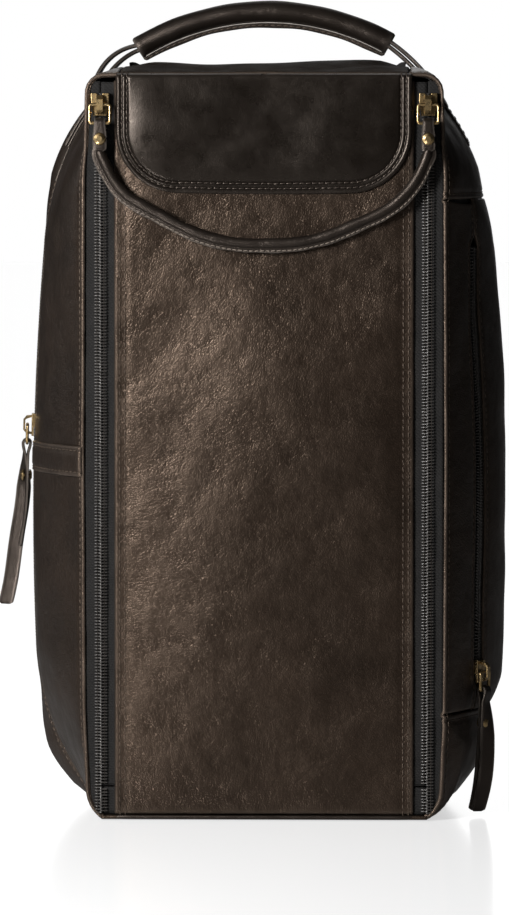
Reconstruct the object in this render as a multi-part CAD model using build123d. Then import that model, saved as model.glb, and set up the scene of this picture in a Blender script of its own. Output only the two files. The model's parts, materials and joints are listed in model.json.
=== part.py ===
from build123d import *
import os
from math import asin, atan2, cos, degrees, sin, sqrt

# Golf shoe bag. Millimetres, +Z up, the floor at z = 0, the front at -Y.
# The origin is the middle of the flat base.

# ---- Driving dimensions -------------------------------------------------------------
DEPTH = 130.0            # front face to back face
WIDEST_Y = 3.0           # where the side gussets stand out furthest
CROWN = 371.0            # corner height of the crown's shallow arch
FRONT_TOP = 361.8        # corner height of the front edge's arch
BACK_TOP = 357.0         # corner height of the back edge's arch
FRONT_HALF = 87.0        # half-width of the front opening's frame
WIDEST_HALF = 118.3      # half-width where the gussets stand out furthest
BACK_HALF = 100.5        # half-width at the back panel
BASE_HALF = 76.0         # half-width of the flat bottom panel
LEATHER = 2.0            # body leather
LINING = 0.8             # textile lining
BOARD = 1.5              # stiffener under the lining
SINK = 3.0               # how far the rounded outline would run below the floor

SEAM_SHOULDER = 300.0    # right gusset: seam under the shoulder piece
SEAM_FOOT = 51.0         # right gusset: seam over the lower piece
TOP_HALF = 70.0          # half-width of the top panel
TOP_SEAM = 300.0         # the top panel lies wholly above this
SIDE_FROM = TOP_HALF - 10  # the side gussets lie wholly outside this half-width

# Front door and its zip
PANEL_HALF = 72.5        # half-width of the door's leather
FOLD_Z = 16.0            # height of the fold that the door turns about
FOLD_GAP = 0.3           # each side of the fold
DOOR_TOP = 357.8         # upper edge of the door
ZIP_X = 79.0             # middle of the front zip
ROW_IN = 0.8             # a zip row reaches from here ...
ROW_OUT = 3.0            # ... to here, from the zip's middle
ROW_DEEP = 2.8           # thickness of a zip row
TAPE = 0.6               # thickness of the zip tape
YOKE_HALF = PANEL_HALF - 3.5
YOKE_LOW = 303.0
YOKE_THICK = 1.8
YOKE_CORNER = 29.0

# Sliders: the same size on the front and on the sides
SLIDER_LONG = 11.0
SLIDER_HALF = 4.4
SLIDER_WAIST = 3.3       # half-width at the lower, narrow end
PLATE = 1.2
RUN = 0.4                # running clearance round the zip
WEDGE_HALF = 0.45
BAIL_HALF = 1.5          # half-width of the crown that holds the ring
RING_WIRE = 0.8          # radius of the ring's wire
RING_LONG = 9.0          # pivot to the far bar of the ring
RING_HALF = 4.9          # half-width of the ring, to the middle of its wire
RING_BEND = 1.2          # bend at the ring's corners
FRONT_SLIDER_Z = 346.0   # middle of a front slider when the bag is shut

# Pull strap between the front sliders
STRAP_R = 2.5
STRAP_FLANGE = 2.6
STRAP_LOW = 279.0        # the roll's middle at the bottom of the U
STRAP_GAP = 0.4          # to the yoke behind it
EYE_WALL = 1.6           # leather folded round a ring
STRAP_TAB = 14.0         # length of the flat ends
STRAP_TAB_HALF = 3.2     # half-width of the flat ends
RIVET_HEAD = 3.0
RIVET_SHANK = 1.2
RIVET_DOME = 1.3

# Side pockets
SLOT_HALF = 4.9          # half-width of the slot that the side zip fills
ZIP_RECESS = 0.2         # the side zip lies this far below the leather
LEFT_ZIP_Y = 1.0
LEFT_ZIP = (56.0, 296.0)
LEFT_SLIDER_Z = 188.0
RIGHT_ZIP_Y = -37.0
RIGHT_ZIP = (62.0, 282.0)
RIGHT_SLIDER_Z = 70.0
POUCH_HALF = 36.0        # half-width of a pocket bag
POUCH_OVER = 10.0        # it reaches this far past the zip's ends
POUCH_THICK = 3.4
POUCH_CHANNEL = 2.4      # depth of the hollow that the slider's back plate runs in
SIDE_BAND = (166.0, 181.0)
BAND_THICK = 1.4
BAND_END_Y = -8.0
WELT_THICK = 1.0
WELT_HALF = 2.2

# Side pulls
PULL_WIDE = 7.0
PULL_PLY = 1.5
RIGHT_PULL = 55.0        # from the ring's far bar to the tip
LEFT_PULL_FRONT = 51.0
LEFT_PULL_BACK = 80.0
PULL_LEAN = 5.5          # the long tail's tip stands out this far

# Handle
HANDLE_TOP = 391.2       # middle of the grip at its highest
HANDLE_RISE = 15.8       # from the grip's ends to its highest
GRIP_REACH = 60.0        # half of the grip's span
GRIP_R = 5.25
CORE_R = 3.7
FLANGE_THICK = 2.4
FLANGE_DEEP = 3.2
HANDLE_WIDE = 21.0       # flat strap ends
HANDLE_STRAP = 3.0
TAB_IN = 85.0            # the sewn shoulder tabs run from here ...
TAB_OUT = 99.0           # ... to here, across the shoulder

FRONT = -DEPTH / 2
BACK = DEPTH / 2
LINING_FRONT = FRONT + 5
LINING_FLOOR = LEATHER + BOARD

# ---- Body outlines: corners (x, z, radius) of the right half, from the base up -------
FRONT_OUTLINE = [
    (FRONT_HALF - 0.8, -SINK, 18), (FRONT_HALF + 0.3, 47, 1500), (FRONT_HALF + 0.9, 178, 5000),
    (FRONT_HALF + 0.3, FRONT_TOP - 45, 1200), (FRONT_HALF - 0.4, FRONT_TOP - 0.8, 9.5),
    (0, FRONT_TOP, 600),
]
WIDEST_OUTLINE = [
    (BASE_HALF + 6, -SINK, 14), (WIDEST_HALF - 5.1, 47.4, 125), (WIDEST_HALF, 177.6, 1600),
    (WIDEST_HALF - 11.5, CROWN - 54.3, 130), (TOP_HALF + 1, CROWN - 8, 12), (0, CROWN, 600),
]
BACK_OUTLINE = [
    (BASE_HALF + 8, -SINK, 16), (BACK_HALF - 3, 47, 60), (BACK_HALF, 178, 1600),
    (BACK_HALF - 7.5, BACK_TOP - 39, 60), (TOP_HALF - 4, BACK_TOP - 3, 20), (0, BACK_TOP, 600),
]


def inset_corner(before, corner, after, depth):
    """Where a corner goes when both of its sides move inwards by depth."""
    side_in, side_out = (corner - before).normalized(), (after - corner).normalized()
    normal_in, normal_out = Vector(-side_in.Y, side_in.X), Vector(-side_out.Y, side_out.X)
    return corner + (normal_in + normal_out) * (depth / (1 + normal_in.dot(normal_out)))


def outline(y, corners, depth):
    """One closed cross-outline of the body at y, moved inwards by depth."""
    whole = corners + [(-x, z, r) for x, z, r in reversed(corners[:-1])]
    at = [Vector(x, z) for x, z, r in whole]
    moved = [inset_corner(at[i - 1], at[i], at[(i + 1) % len(at)], depth) for i in range(len(at))]
    radii = [max(r - depth, 1) for x, z, r in whole]
    line = FilletPolyline(*[(p.X, p.Y) for p in moved], radius=radii, close=True)
    return Plane.XZ.offset(-y) * make_face(line)


def body(depth):
    """The bag's outer form moved inwards by depth; its front runs on past the front plane."""
    front = outline(FRONT, FRONT_OUTLINE, depth)
    form = loft([front, outline(WIDEST_Y, WIDEST_OUTLINE, depth), outline(BACK, BACK_OUTLINE, depth)])
    return form + extrude(front, 5) if depth > 0 else form


def span(x, y, z):
    """A box from three (low, high) pairs."""
    low, high = Vector(x[0], y[0], z[0]), Vector(x[1], y[1], z[1])
    return Pos((low + high) / 2) * Box(*(high - low))


def pack(shapes):
    """Separate solids that share one node."""
    return Part([solid for shape in shapes for solid in shape.solids()])


def join(*shapes):
    """Fuses shapes into one part."""
    return Part(shapes[0].fuse(*shapes[1:]).solids())


FAR = 500.0
ABOVE_FLOOR = span((-FAR, FAR), (-FAR, FAR), (0, FAR))
OUTER = body(0) & ABOVE_FLOOR


def cavity(depth, floor, front=FRONT - 5, back=BACK):
    """The inside of the body at a depth below its outer face, above floor."""
    return body(depth) & span((-FAR, FAR), (front, back), (floor, FAR))


INSIDE = cavity(LEATHER, LEATHER, back=BACK - LEATHER)
TUBE = (OUTER - INSIDE) & span((-FAR, FAR), (FRONT, BACK - LEATHER), (0, FAR))


# ---- The side zips' frames -------------------------------------------------------------
def face_point(y, z):
    """The right-hand point of the body's outer face at y, z, and its outward normal."""
    return max(OUTER.find_intersection_points(Axis((0, y, z), (1, 0, 0))), key=lambda hit: hit[0].X)


class ZipArc:
    """The arc that a side zip and its slider follow, in the plane y, on the right side."""

    def __init__(self, y, reach):
        self.y, self.reach = y, reach
        low, high = reach
        (a, _), (b, normal), (c, _) = [face_point(y, z) for z in (low, (low + high) / 2, high)]
        chord = (c - a).length
        rise = b.X - (a.X + c.X) / 2
        self.radius = chord**2 / (8 * rise) + rise / 2
        lean = asin((a.X - c.X) / chord)
        self.cx = b.X - self.radius * cos(lean) - ZIP_RECESS
        self.cz = b.Z - self.radius * sin(lean)
        self.tilt = atan2(normal.Y, normal.X)

    def home(self):
        """u outwards, v across the zip, w up, where the arc runs straight up."""
        out = (cos(self.tilt), sin(self.tilt), 0)
        return Plane(origin=(self.cx + self.radius, self.y, self.cz), x_dir=out, z_dir=(0, 0, 1))

    def angle(self, z):
        return degrees(asin((z - self.cz) / self.radius))

    def axis(self):
        return Axis((self.cx, self.y, self.cz), (0, -1, 0))

    def bar(self, u, v, low, high):
        """A bar of section u by v along the arc from height low to high."""
        section = Pos((u[0] + u[1]) / 2, (v[0] + v[1]) / 2) * Rectangle(u[1] - u[0], v[1] - v[0])
        profile = self.home() * section
        first, last = self.angle(low), self.angle(high)
        return revolve(profile.rotate(self.axis(), first), self.axis(), last - first)

    def place(self, shape, z):
        """Moves a shape made in the home frame to height z on the arc."""
        return (self.home().location * shape).rotate(self.axis(), self.angle(z))


LEFT_ARC = ZipArc(LEFT_ZIP_Y, LEFT_ZIP)
RIGHT_ARC = ZipArc(RIGHT_ZIP_Y, RIGHT_ZIP)


def left(shape):
    return mirror(shape, about=Plane.YZ)


def slot(arc, deep):
    """What the side zip cuts out of the leather and the lining."""
    return arc.bar((-deep, 8), (-SLOT_HALF, SLOT_HALF), arc.reach[0], arc.reach[1])


def side_rows(arc):
    low, high = arc.reach
    rows = [
        arc.bar((-ROW_DEEP, 0), sorted((s * ROW_IN, s * ROW_OUT)), low + 3, high - 3) for s in (-1, 1)
    ]
    stops = [arc.bar((-ROW_DEEP, 0.2), (-ROW_OUT, ROW_OUT), z, z + 2.5) for z in (low + 0.5, high - 3)]
    return pack(rows + stops)


def side_tape(arc):
    low, high = arc.reach
    back, front = -ROW_DEEP, -ROW_DEEP + TAPE
    return pack([
        arc.bar((back, front), sorted((s * ROW_OUT, s * SLOT_HALF)), low, high) for s in (-1, 1)
    ])


def pocket_bag(arc):
    """A flat textile pouch behind the side zip, hollowed where the slider's back plate runs."""
    top = LEATHER + LINING
    low, high = arc.reach
    pad = cavity(top, 8, back=BACK - top) - cavity(top + POUCH_THICK, 8, back=BACK - top - POUCH_THICK)
    pad &= span((SIDE_FROM, FAR), (max(arc.y - POUCH_HALF, LINING_FRONT), arc.y + POUCH_HALF),
                (low - POUCH_OVER, high + POUCH_OVER))
    channel = arc.bar((-top - POUCH_CHANNEL, 8), (-SLOT_HALF - 0.6, SLOT_HALF + 0.6), low, high)
    return pad - channel


# ---- Zip sliders and rings, in a frame with u outwards, v across, w up -------------------
PLATE_FRONT = RUN + PLATE
PIVOT_U = PLATE_FRONT + RING_WIRE + 1.2


def slider():
    half = SLIDER_LONG / 2
    shape = Polyline(
        (-SLIDER_WAIST, -half), (SLIDER_WAIST, -half), (SLIDER_HALF, half - 4), (SLIDER_HALF, half),
        (1.6, half), (0, half - 2.2), (-1.6, half), (-SLIDER_HALF, half), (-SLIDER_HALF, half - 4),
        close=True,
    )
    blank = Plane.YZ * make_face(shape)
    front = extrude(Pos(RUN, 0, 0) * blank, PLATE)
    back = extrude(Pos(-ROW_DEEP - RUN - PLATE, 0, 0) * blank, PLATE)
    rims = front.edges().group_by(Axis.X)[-1]
    front = fillet(rims, 0.35)
    wedge = span((-ROW_DEEP - RUN, RUN), (-WEDGE_HALF, WEDGE_HALF), (half - 5.5, half - 2.6))
    lip_in = ROW_OUT + RUN
    lips = [
        span((-1.6, RUN), sorted((s * lip_in, s * SLIDER_HALF)), (-1.0, half)) for s in (-1, 1)
    ]
    foot, top, wall = half - 0.8, PIVOT_U + RING_WIRE + 0.3, 1.0
    arch = make_face(Polyline(
        (PLATE_FRONT, -foot), (PLATE_FRONT, -foot + wall), (top - 0.8, -foot + wall + 0.8),
        (top, -foot + 2.4), (top, foot - 2.4), (top - 0.8, foot - wall - 0.8),
        (PLATE_FRONT, foot - wall), (PLATE_FRONT, foot), (top - 0.6, foot - 0.2),
        (top + wall, foot - 2.2), (top + wall, -foot + 2.2), (top - 0.6, -foot + 0.2),
        close=True,
    ))
    crown = extrude(Plane.XZ.offset(-BAIL_HALF) * arch, 2 * BAIL_HALF)
    return join(front, back, wedge, crown, *lips)


def ring(tilt=0.0):
    """A rectangular wire ring; its upper bar is the pivot in the slider's crown, and it hangs along -w."""
    path = FilletPolyline(
        (0, RING_HALF, 0), (0, RING_HALF, -RING_LONG), (0, -RING_HALF, -RING_LONG), (0, -RING_HALF, 0),
        radius=RING_BEND, close=True)
    wire = sweep(Plane(origin=path @ 0, z_dir=path % 0) * Circle(RING_WIRE), path)
    return Pos(PIVOT_U, 0, 0) * Rot(0, -tilt, 0) * wire


def rivet(length):
    """A tubular rivet along u, with a low head on both faces of a strap of that thickness."""
    flat, tip = length / 2, length / 2 + RIVET_DOME
    edge, crest = 0.88 * RIVET_HEAD, 0.45 * RIVET_HEAD
    half = [(0, RIVET_SHANK), (flat, RIVET_SHANK), (flat, RIVET_HEAD), (flat + 0.5 * RIVET_DOME, edge),
            (tip, crest), (tip, 0)]
    other = [(-u, r) for u, r in reversed(half[1:])]
    return revolve(make_face(Polyline(*other, *half[1:], close=True)), Axis.X)


def eye_face(reach, thick):
    """Outline in u, w of a strip folded round the ring's far bar, with tails down to reach."""
    outer = RING_WIRE + 0.1 + EYE_WALL
    tails = Pos(0, -reach / 2) * Rectangle(thick, reach)
    return Circle(outer) + tails - Circle(RING_WIRE + 0.1)


# ---- Front door, sill and front zip ----------------------------------------------------
Y_LEATHER = (FRONT, FRONT + LEATHER)
TAPE_BACK = FRONT + LEATHER + TAPE
ROW_FRONT = TAPE_BACK - ROW_DEEP
DOOR_LOW = FOLD_Z + FOLD_GAP
SILL_TOP = FOLD_Z - FOLD_GAP
ROW_TOP = FRONT_SLIDER_Z - SLIDER_LONG / 2 - 3.4
TAPE_UNDER = 6.5         # how far the tape runs on under the door's leather
ROW_START = LEATHER + 0.4


def both(shape):
    return [left(shape), shape]


def front_frame(x, y, z):
    """A strip of the fixed front, trimmed to the inside of the body."""
    return span(x, y, z) & INSIDE


def row_strip(side, z):
    """One row of the right front zip: side -1 is the door's, 1 is the frame's."""
    x = sorted((ZIP_X + side * ROW_IN, ZIP_X + side * ROW_OUT))
    return front_frame(x, (ROW_FRONT, TAPE_BACK), z)


door_leather = extrude(
    Plane.XZ.offset(-FRONT - LEATHER) * (
        Pos(0, (DOOR_LOW + DOOR_TOP) / 2) * RectangleRounded(2 * PANEL_HALF, DOOR_TOP - DOOR_LOW, 3)
    ), LEATHER)
yoke_top = DOOR_TOP - 1.5
yoke_plan = Pos(0, (YOKE_LOW + yoke_top) / 2) * Rectangle(2 * YOKE_HALF, yoke_top - YOKE_LOW)
yoke_plan = fillet(yoke_plan.vertices().group_by(Axis.Y)[0], YOKE_CORNER)
yoke_plan = fillet(yoke_plan.vertices().group_by(Axis.Y)[-1], 4)
yoke = extrude(Plane.XZ.offset(-FRONT) * yoke_plan, YOKE_THICK)
yoke = fillet(yoke.edges().group_by(Axis.Y)[0], 0.9)

TAPE_Y = (FRONT + LEATHER, TAPE_BACK)
front_parts = {
    "front_panel": door_leather,
    "front_yoke": yoke,
    "door_lining": span((-PANEL_HALF + TAPE_UNDER, PANEL_HALF - TAPE_UNDER),
                        (FRONT + LEATHER, FRONT + LEATHER + LINING), (DOOR_LOW + 1, DOOR_TOP - 1)),
    "front_sill": front_frame((-PANEL_HALF, PANEL_HALF), Y_LEATHER, (LEATHER, SILL_TOP)),
}
door_tape = span((PANEL_HALF - TAPE_UNDER, ZIP_X - ROW_OUT), TAPE_Y, (DOOR_LOW, DOOR_TOP - 1))
door_row = row_strip(-1, (DOOR_LOW, FRONT_SLIDER_Z + SLIDER_LONG / 2 + 1))
frame_tape = pack([
    front_frame((ZIP_X + ROW_OUT, FRONT_HALF + 2), TAPE_Y, (ROW_START, ROW_TOP)),
    front_frame((PANEL_HALF - TAPE_UNDER, ZIP_X - ROW_OUT), TAPE_Y, (ROW_START, SILL_TOP)),
])
frame_row = pack([
    row_strip(1, (ROW_START, ROW_TOP)), row_strip(-1, (ROW_START, SILL_TOP)),
])
for name, shape in (("tape_%s_door", door_tape), ("row_%s_door", door_row),
                    ("tape_%s_frame", frame_tape), ("row_%s_frame", frame_row)):
    front_parts["front_" + name % "left"] = left(shape)
    front_parts["front_" + name % "right"] = shape

FRONT_SLIDER = Plane(origin=(ZIP_X, ROW_FRONT, FRONT_SLIDER_Z), x_dir=(0, -1, 0), z_dir=(0, 0, 1))
front_parts["front_slider_right"] = FRONT_SLIDER.location * slider()
front_parts["front_slider_left"] = left(front_parts["front_slider_right"])

# ---- Pull strap: hangs in a U from the rings of both front sliders ------------------------
PIVOT_Y = ROW_FRONT - PIVOT_U
STRAP_Y = FRONT - YOKE_THICK - STRAP_GAP - STRAP_R
RING_TILT = degrees(asin((PIVOT_Y - STRAP_Y) / RING_LONG))
EYE_Z = FRONT_SLIDER_Z - sqrt(RING_LONG**2 - (PIVOT_Y - STRAP_Y) ** 2)
STRAP_END_Z = EYE_Z - STRAP_TAB
STRAP_ROUTE = [
    (-ZIP_X, STRAP_END_Z), (-ZIP_X + 9, STRAP_END_Z - 19), (-24, STRAP_LOW), (23, STRAP_LOW + 0.5),
    (ZIP_X - 9, STRAP_END_Z - 23), (ZIP_X, STRAP_END_Z),
]
STRAP_BENDS = [30, 80, 80, 45]
front_ring = FRONT_SLIDER.location * ring(RING_TILT)
eye_thick = 2 * STRAP_R
tab = extrude(Plane.YZ * eye_face(STRAP_TAB, eye_thick), STRAP_TAB_HALF, both=True)
tab = Pos(ZIP_X, STRAP_Y, EYE_Z) * tab
rivet_at = Pos(ZIP_X, STRAP_Y, STRAP_END_Z + 6.5) * Rot(0, 0, 90)
rivet_hole = rivet_at * Rot(0, 90, 0) * Cylinder(RIVET_SHANK, 20)
tab -= rivet_hole
route = FilletPolyline(*[(x, STRAP_Y, z) for x, z in STRAP_ROUTE], radius=STRAP_BENDS)
start = Plane(origin=route @ 0, x_dir=(0, 1, 0), z_dir=route % 0)
roll = Circle(STRAP_R) + Pos(0, -STRAP_R - STRAP_FLANGE / 2 + 0.8) * Rectangle(1.8, STRAP_FLANGE)
rope = sweep(start * roll, route)
pull_strap = join(rope, tab, left(tab))
strap_rivet = rivet_at * rivet(eye_thick)

# ---- Side sliders, rings and pulls -----------------------------------------------------
PULL_RIVET_W = -16.0     # from the ring's far bar


def pull(tails):
    """A leather strip folded round the ring; tails are (length, u offset, u lean at the tip)."""
    eye = Circle(RING_WIRE + 0.1 + EYE_WALL) - Circle(RING_WIRE + 0.1)
    strips = Sketch() + [
        make_face(Polyline((u, -1), (u + PULL_PLY, -1), (u + PULL_PLY, PULL_RIVET_W - 5)) +
                  Polyline((u + PULL_PLY, PULL_RIVET_W - 5), (u + lean + PULL_PLY, -long),
                           (u + lean, -long), (u, PULL_RIVET_W - 5), (u, -1)))
        for long, u, lean in tails
    ]
    face = eye + (strips - Circle(RING_WIRE + 0.1))
    solid = extrude(Plane.XZ * face, PULL_WIDE / 2, both=True)
    hole = Pos(0, 0, PULL_RIVET_W) * Rot(0, 90, 0) * Cylinder(RIVET_SHANK, 20)
    return Pos(PIVOT_U, 0, -RING_LONG) * (solid - hole)


pull_rivet = Pos(PIVOT_U, 0, -RING_LONG + PULL_RIVET_W) * rivet(2 * PULL_PLY)
SIDES = {
    "right": (RIGHT_ARC, RIGHT_SLIDER_Z, [(RIGHT_PULL, 0, 0), (RIGHT_PULL, -PULL_PLY, 0)]),
    "left": (LEFT_ARC, LEFT_SLIDER_Z, [(LEFT_PULL_BACK, 0, PULL_LEAN), (LEFT_PULL_FRONT, -PULL_PLY, 0)]),
}
side_parts = {}
for name, (arc, height, tails) in SIDES.items():
    made = {
        "side_slider_": arc.place(slider(), height),
        "side_ring_": arc.place(ring(), height),
        "side_pull_": arc.place(pull(tails), height),
        "side_rivet_": arc.place(pull_rivet, height),
        "side_rows_": side_rows(arc),
        "side_tape_": side_tape(arc),
        "pocket_bag_": pocket_bag(arc),
    }
    for key, shape in made.items():
        side_parts[key + name] = shape if name == "right" else left(shape)

# ---- Body panels -----------------------------------------------------------------------
SLOT_DEEP = LEATHER + LINING + POUCH_CHANNEL
right_slot = slot(RIGHT_ARC, SLOT_DEEP)
left_slot = left(slot(LEFT_ARC, SLOT_DEEP))
shell = TUBE - right_slot - left_slot
top_room = span((-TOP_HALF, TOP_HALF), (-FAR, FAR), (TOP_SEAM, FAR))
bottom_room = span((-BASE_HALF, BASE_HALF), (-FAR, FAR), (-1, 10))


def side_piece(x, y, z):
    """A piece of the side gussets: the shell within a box, outside the top and bottom panels."""
    return (shell & span(x, y, z)) - top_room - bottom_room


body_parts = {
    "back_panel": OUTER & span((-FAR, FAR), (BACK - LEATHER, FAR), (0, FAR)),
    "bottom_panel": shell & bottom_room,
    "top_panel": shell & top_room,
    "gusset_left_front": side_piece((-FAR, -SIDE_FROM), (-FAR, LEFT_ZIP_Y), (-1, FAR)),
    "gusset_left_rear": side_piece((-FAR, -SIDE_FROM), (LEFT_ZIP_Y, FAR), (-1, FAR)),
    "gusset_right_shoulder": side_piece((SIDE_FROM, FAR), (-FAR, FAR), (SEAM_SHOULDER, FAR)),
    "gusset_right_lower": side_piece((SIDE_FROM, FAR), (-FAR, FAR), (-1, SEAM_FOOT)),
    "pocket_panel_right": side_piece((SIDE_FROM, FAR), (-FAR, RIGHT_ZIP_Y), (SEAM_FOOT, SEAM_SHOULDER)),
    "gusset_right_rear": side_piece((SIDE_FROM, FAR), (RIGHT_ZIP_Y, FAR), (SEAM_FOOT, SEAM_SHOULDER)),
    "base_board": span((-BASE_HALF + 2, BASE_HALF - 2), (FRONT + 5, BACK - LEATHER - 1),
                       (LEATHER, LEATHER + BOARD)),
}
lining = cavity(LEATHER, LINING_FLOOR, LINING_FRONT, BACK - LEATHER) - cavity(
    LEATHER + LINING, LINING_FLOOR + LINING, back=BACK - LEATHER - LINING)
body_parts["lining"] = lining - right_slot - left_slot


def skin(thick):
    """A layer of that thickness on the outside of the body."""
    return body(-thick) - body(0)


body_parts["side_band_left"] = skin(BAND_THICK) & span(
    (-FAR, -FRONT_HALF + 4), (FRONT + 0.5, BAND_END_Y), SIDE_BAND)
body_parts["seam_welt_left"] = skin(WELT_THICK) & span(
    (-FAR, -TAB_OUT), (LEFT_ZIP_Y - WELT_HALF, LEFT_ZIP_Y + WELT_HALF), (LEFT_ZIP[1] + 0.5, FAR))

# ---- Handle ------------------------------------------------------------------------------
ARCH_R = (GRIP_REACH**2 + HANDLE_RISE**2) / (2 * HANDLE_RISE)
ARCH_Z = HANDLE_TOP - ARCH_R
ARCH_HALF = degrees(asin(GRIP_REACH / ARCH_R))
arch_axis = Axis((0, WIDEST_Y, ARCH_Z), (0, 1, 0))
grip_at = Plane(origin=(0, WIDEST_Y, HANDLE_TOP), x_dir=(0, 1, 0), z_dir=(1, 0, 0))
flange = Pos(0, -GRIP_R - FLANGE_DEEP / 2 + 0.5) * Rectangle(FLANGE_THICK, FLANGE_DEEP)


def along_arch(face):
    return revolve((grip_at * face).rotate(arch_axis, -ARCH_HALF), arch_axis, 2 * ARCH_HALF)


tab_ring = skin(HANDLE_STRAP) & span(
    (TAB_IN, TAB_OUT), (WIDEST_Y - HANDLE_WIDE / 2, WIDEST_Y + HANDLE_WIDE / 2), (TOP_SEAM, FAR))
foot_x = TAB_IN
foot_z = max(p.Z for p, _ in OUTER.find_intersection_points(Axis((foot_x, WIDEST_Y, 0), (0, 0, 1))))
end_x, end_z = GRIP_REACH, HANDLE_TOP - HANDLE_RISE
leg_line = ThreePointArc(
    (end_x, end_z), ((end_x + foot_x) / 2 + 1.2, (end_z + foot_z) / 2 + 3.2), (foot_x, foot_z + 2.6))
leg = extrude(Plane.XZ.offset(-WIDEST_Y) * trace(leg_line, HANDLE_STRAP), HANDLE_WIDE / 2, both=True)
leg -= span((TAB_IN, FAR), (-FAR, FAR), (0, FAR))
leg -= OUTER
leg -= along_arch(Circle(GRIP_R) + flange)
handle_parts = {
    "handle_grip": along_arch(Circle(GRIP_R) + flange - Circle(CORE_R)),
    "handle_core": along_arch(Circle(CORE_R)),
    "handle_strap_right": leg,
    "handle_strap_left": left(leg),
    "shoulder_tab_right": tab_ring,
    "shoulder_tab_left": left(tab_ring),
}
strap_parts = {
    "pull_strap": pull_strap,
    "shackle_right": front_ring,
    "shackle_left": left(front_ring),
    "strap_rivets": pack(both(strap_rivet)),
}

os.makedirs("parts", exist_ok=True)
for group in (body_parts, front_parts, strap_parts, side_parts, handle_parts):
    for name, shape in group.items():
        export_step(shape, f"parts/{name}.step")

TRAVEL_TO = FOLD_Z + 14.5
for name, arc, rest in (("left", LEFT_ARC, LEFT_SLIDER_Z), ("right", RIGHT_ARC, RIGHT_SLIDER_Z)):
    print(name, "zip centre", round(arc.cx, 3), arc.y, round(arc.cz, 3), "radius", round(arc.radius, 2),
          "tilt", round(degrees(arc.tilt), 3), "rest angle", round(arc.angle(rest), 4),
          "ends", [round(arc.angle(z), 4) for z in (arc.reach[0] + 9, arc.reach[1] - 9)])
    pivot = arc.place(Pos(PIVOT_U, 0, 0) * Box(0.01, 0.01, 0.01), rest).center()
    print(name, "pull pivot", pivot)
print("front pivot", PIVOT_Y, FRONT_SLIDER_Z, "strap y", STRAP_Y, "tilt", RING_TILT, "eye", EYE_Z)
print("row front", ROW_FRONT, "tape back", TAPE_BACK, "travel", FRONT_SLIDER_Z - TRAVEL_TO)
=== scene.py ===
import json

import bpy
import numpy as np
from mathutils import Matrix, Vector

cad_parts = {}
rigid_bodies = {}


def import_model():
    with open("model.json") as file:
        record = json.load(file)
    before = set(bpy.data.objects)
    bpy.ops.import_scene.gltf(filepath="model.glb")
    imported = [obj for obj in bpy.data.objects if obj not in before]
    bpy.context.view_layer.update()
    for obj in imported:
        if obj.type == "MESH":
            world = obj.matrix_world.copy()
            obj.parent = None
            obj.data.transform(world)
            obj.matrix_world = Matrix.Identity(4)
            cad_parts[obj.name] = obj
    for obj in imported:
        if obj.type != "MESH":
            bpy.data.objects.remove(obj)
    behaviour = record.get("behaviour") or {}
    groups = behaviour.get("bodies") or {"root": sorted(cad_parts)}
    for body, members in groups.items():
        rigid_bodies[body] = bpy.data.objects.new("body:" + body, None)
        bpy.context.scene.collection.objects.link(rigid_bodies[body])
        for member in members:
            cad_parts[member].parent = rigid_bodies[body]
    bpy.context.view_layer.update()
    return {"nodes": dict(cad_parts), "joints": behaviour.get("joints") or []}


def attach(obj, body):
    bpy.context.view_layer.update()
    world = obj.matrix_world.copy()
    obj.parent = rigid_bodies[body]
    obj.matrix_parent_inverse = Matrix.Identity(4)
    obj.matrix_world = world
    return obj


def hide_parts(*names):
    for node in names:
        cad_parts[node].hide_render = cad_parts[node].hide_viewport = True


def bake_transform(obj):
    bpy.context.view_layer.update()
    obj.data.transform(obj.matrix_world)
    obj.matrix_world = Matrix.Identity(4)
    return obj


for spare in list(bpy.data.objects):
    bpy.data.objects.remove(spare)
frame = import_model()
scene = bpy.context.scene
scene.view_settings.view_transform = "Standard"


# ---- Studio ------------------------------------------------------------------------------
# The bag stands on a white, slightly glossy floor in front of a white backdrop. A narrow soft lamp
# stands to the left of the camera, with a weak fill lamp above it and a rim lamp behind on the left.
def adder(tree):
    """Gives a function that adds a shader node to the tree: an input is a socket to link from, or a value."""

    def add(kind, inputs=None, **settings):
        made = tree.nodes.new("ShaderNode" + kind)
        for key, value in settings.items():
            setattr(made, key, value)
        for key, value in (inputs or {}).items():
            if isinstance(value, bpy.types.NodeSocket):
                tree.links.new(value, made.inputs[key])
            else:
                made.inputs[key].default_value = value
        return made

    return add


def lamp(name, place, aim, size, watts):
    """A soft rectangular lamp at a place, turned towards the point that it lights."""
    light = bpy.data.lights.new(name, "AREA")
    light.shape, light.size, light.size_y, light.energy = "RECTANGLE", size[0], size[1], watts
    stand = bpy.data.objects.new(name, light)
    stand.location = place
    stand.rotation_euler = (Vector(aim) - Vector(place)).to_track_quat("-Z", "Y").to_euler()
    scene.collection.objects.link(stand)


lamp("key_lamp", (-0.57, -0.84, 0.51), (0, 0, 0.26), (0.18, 0.36), 16)
lamp("fill_lamp", (-0.6, -0.9, 1.7), (0, 0, 0.2), (1.0, 0.8), 1.4)
lamp("rim_lamp", (-1.3, 0.55, 0.8), (0, 0, 0.25), (0.5, 1.2), 1.6)

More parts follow.
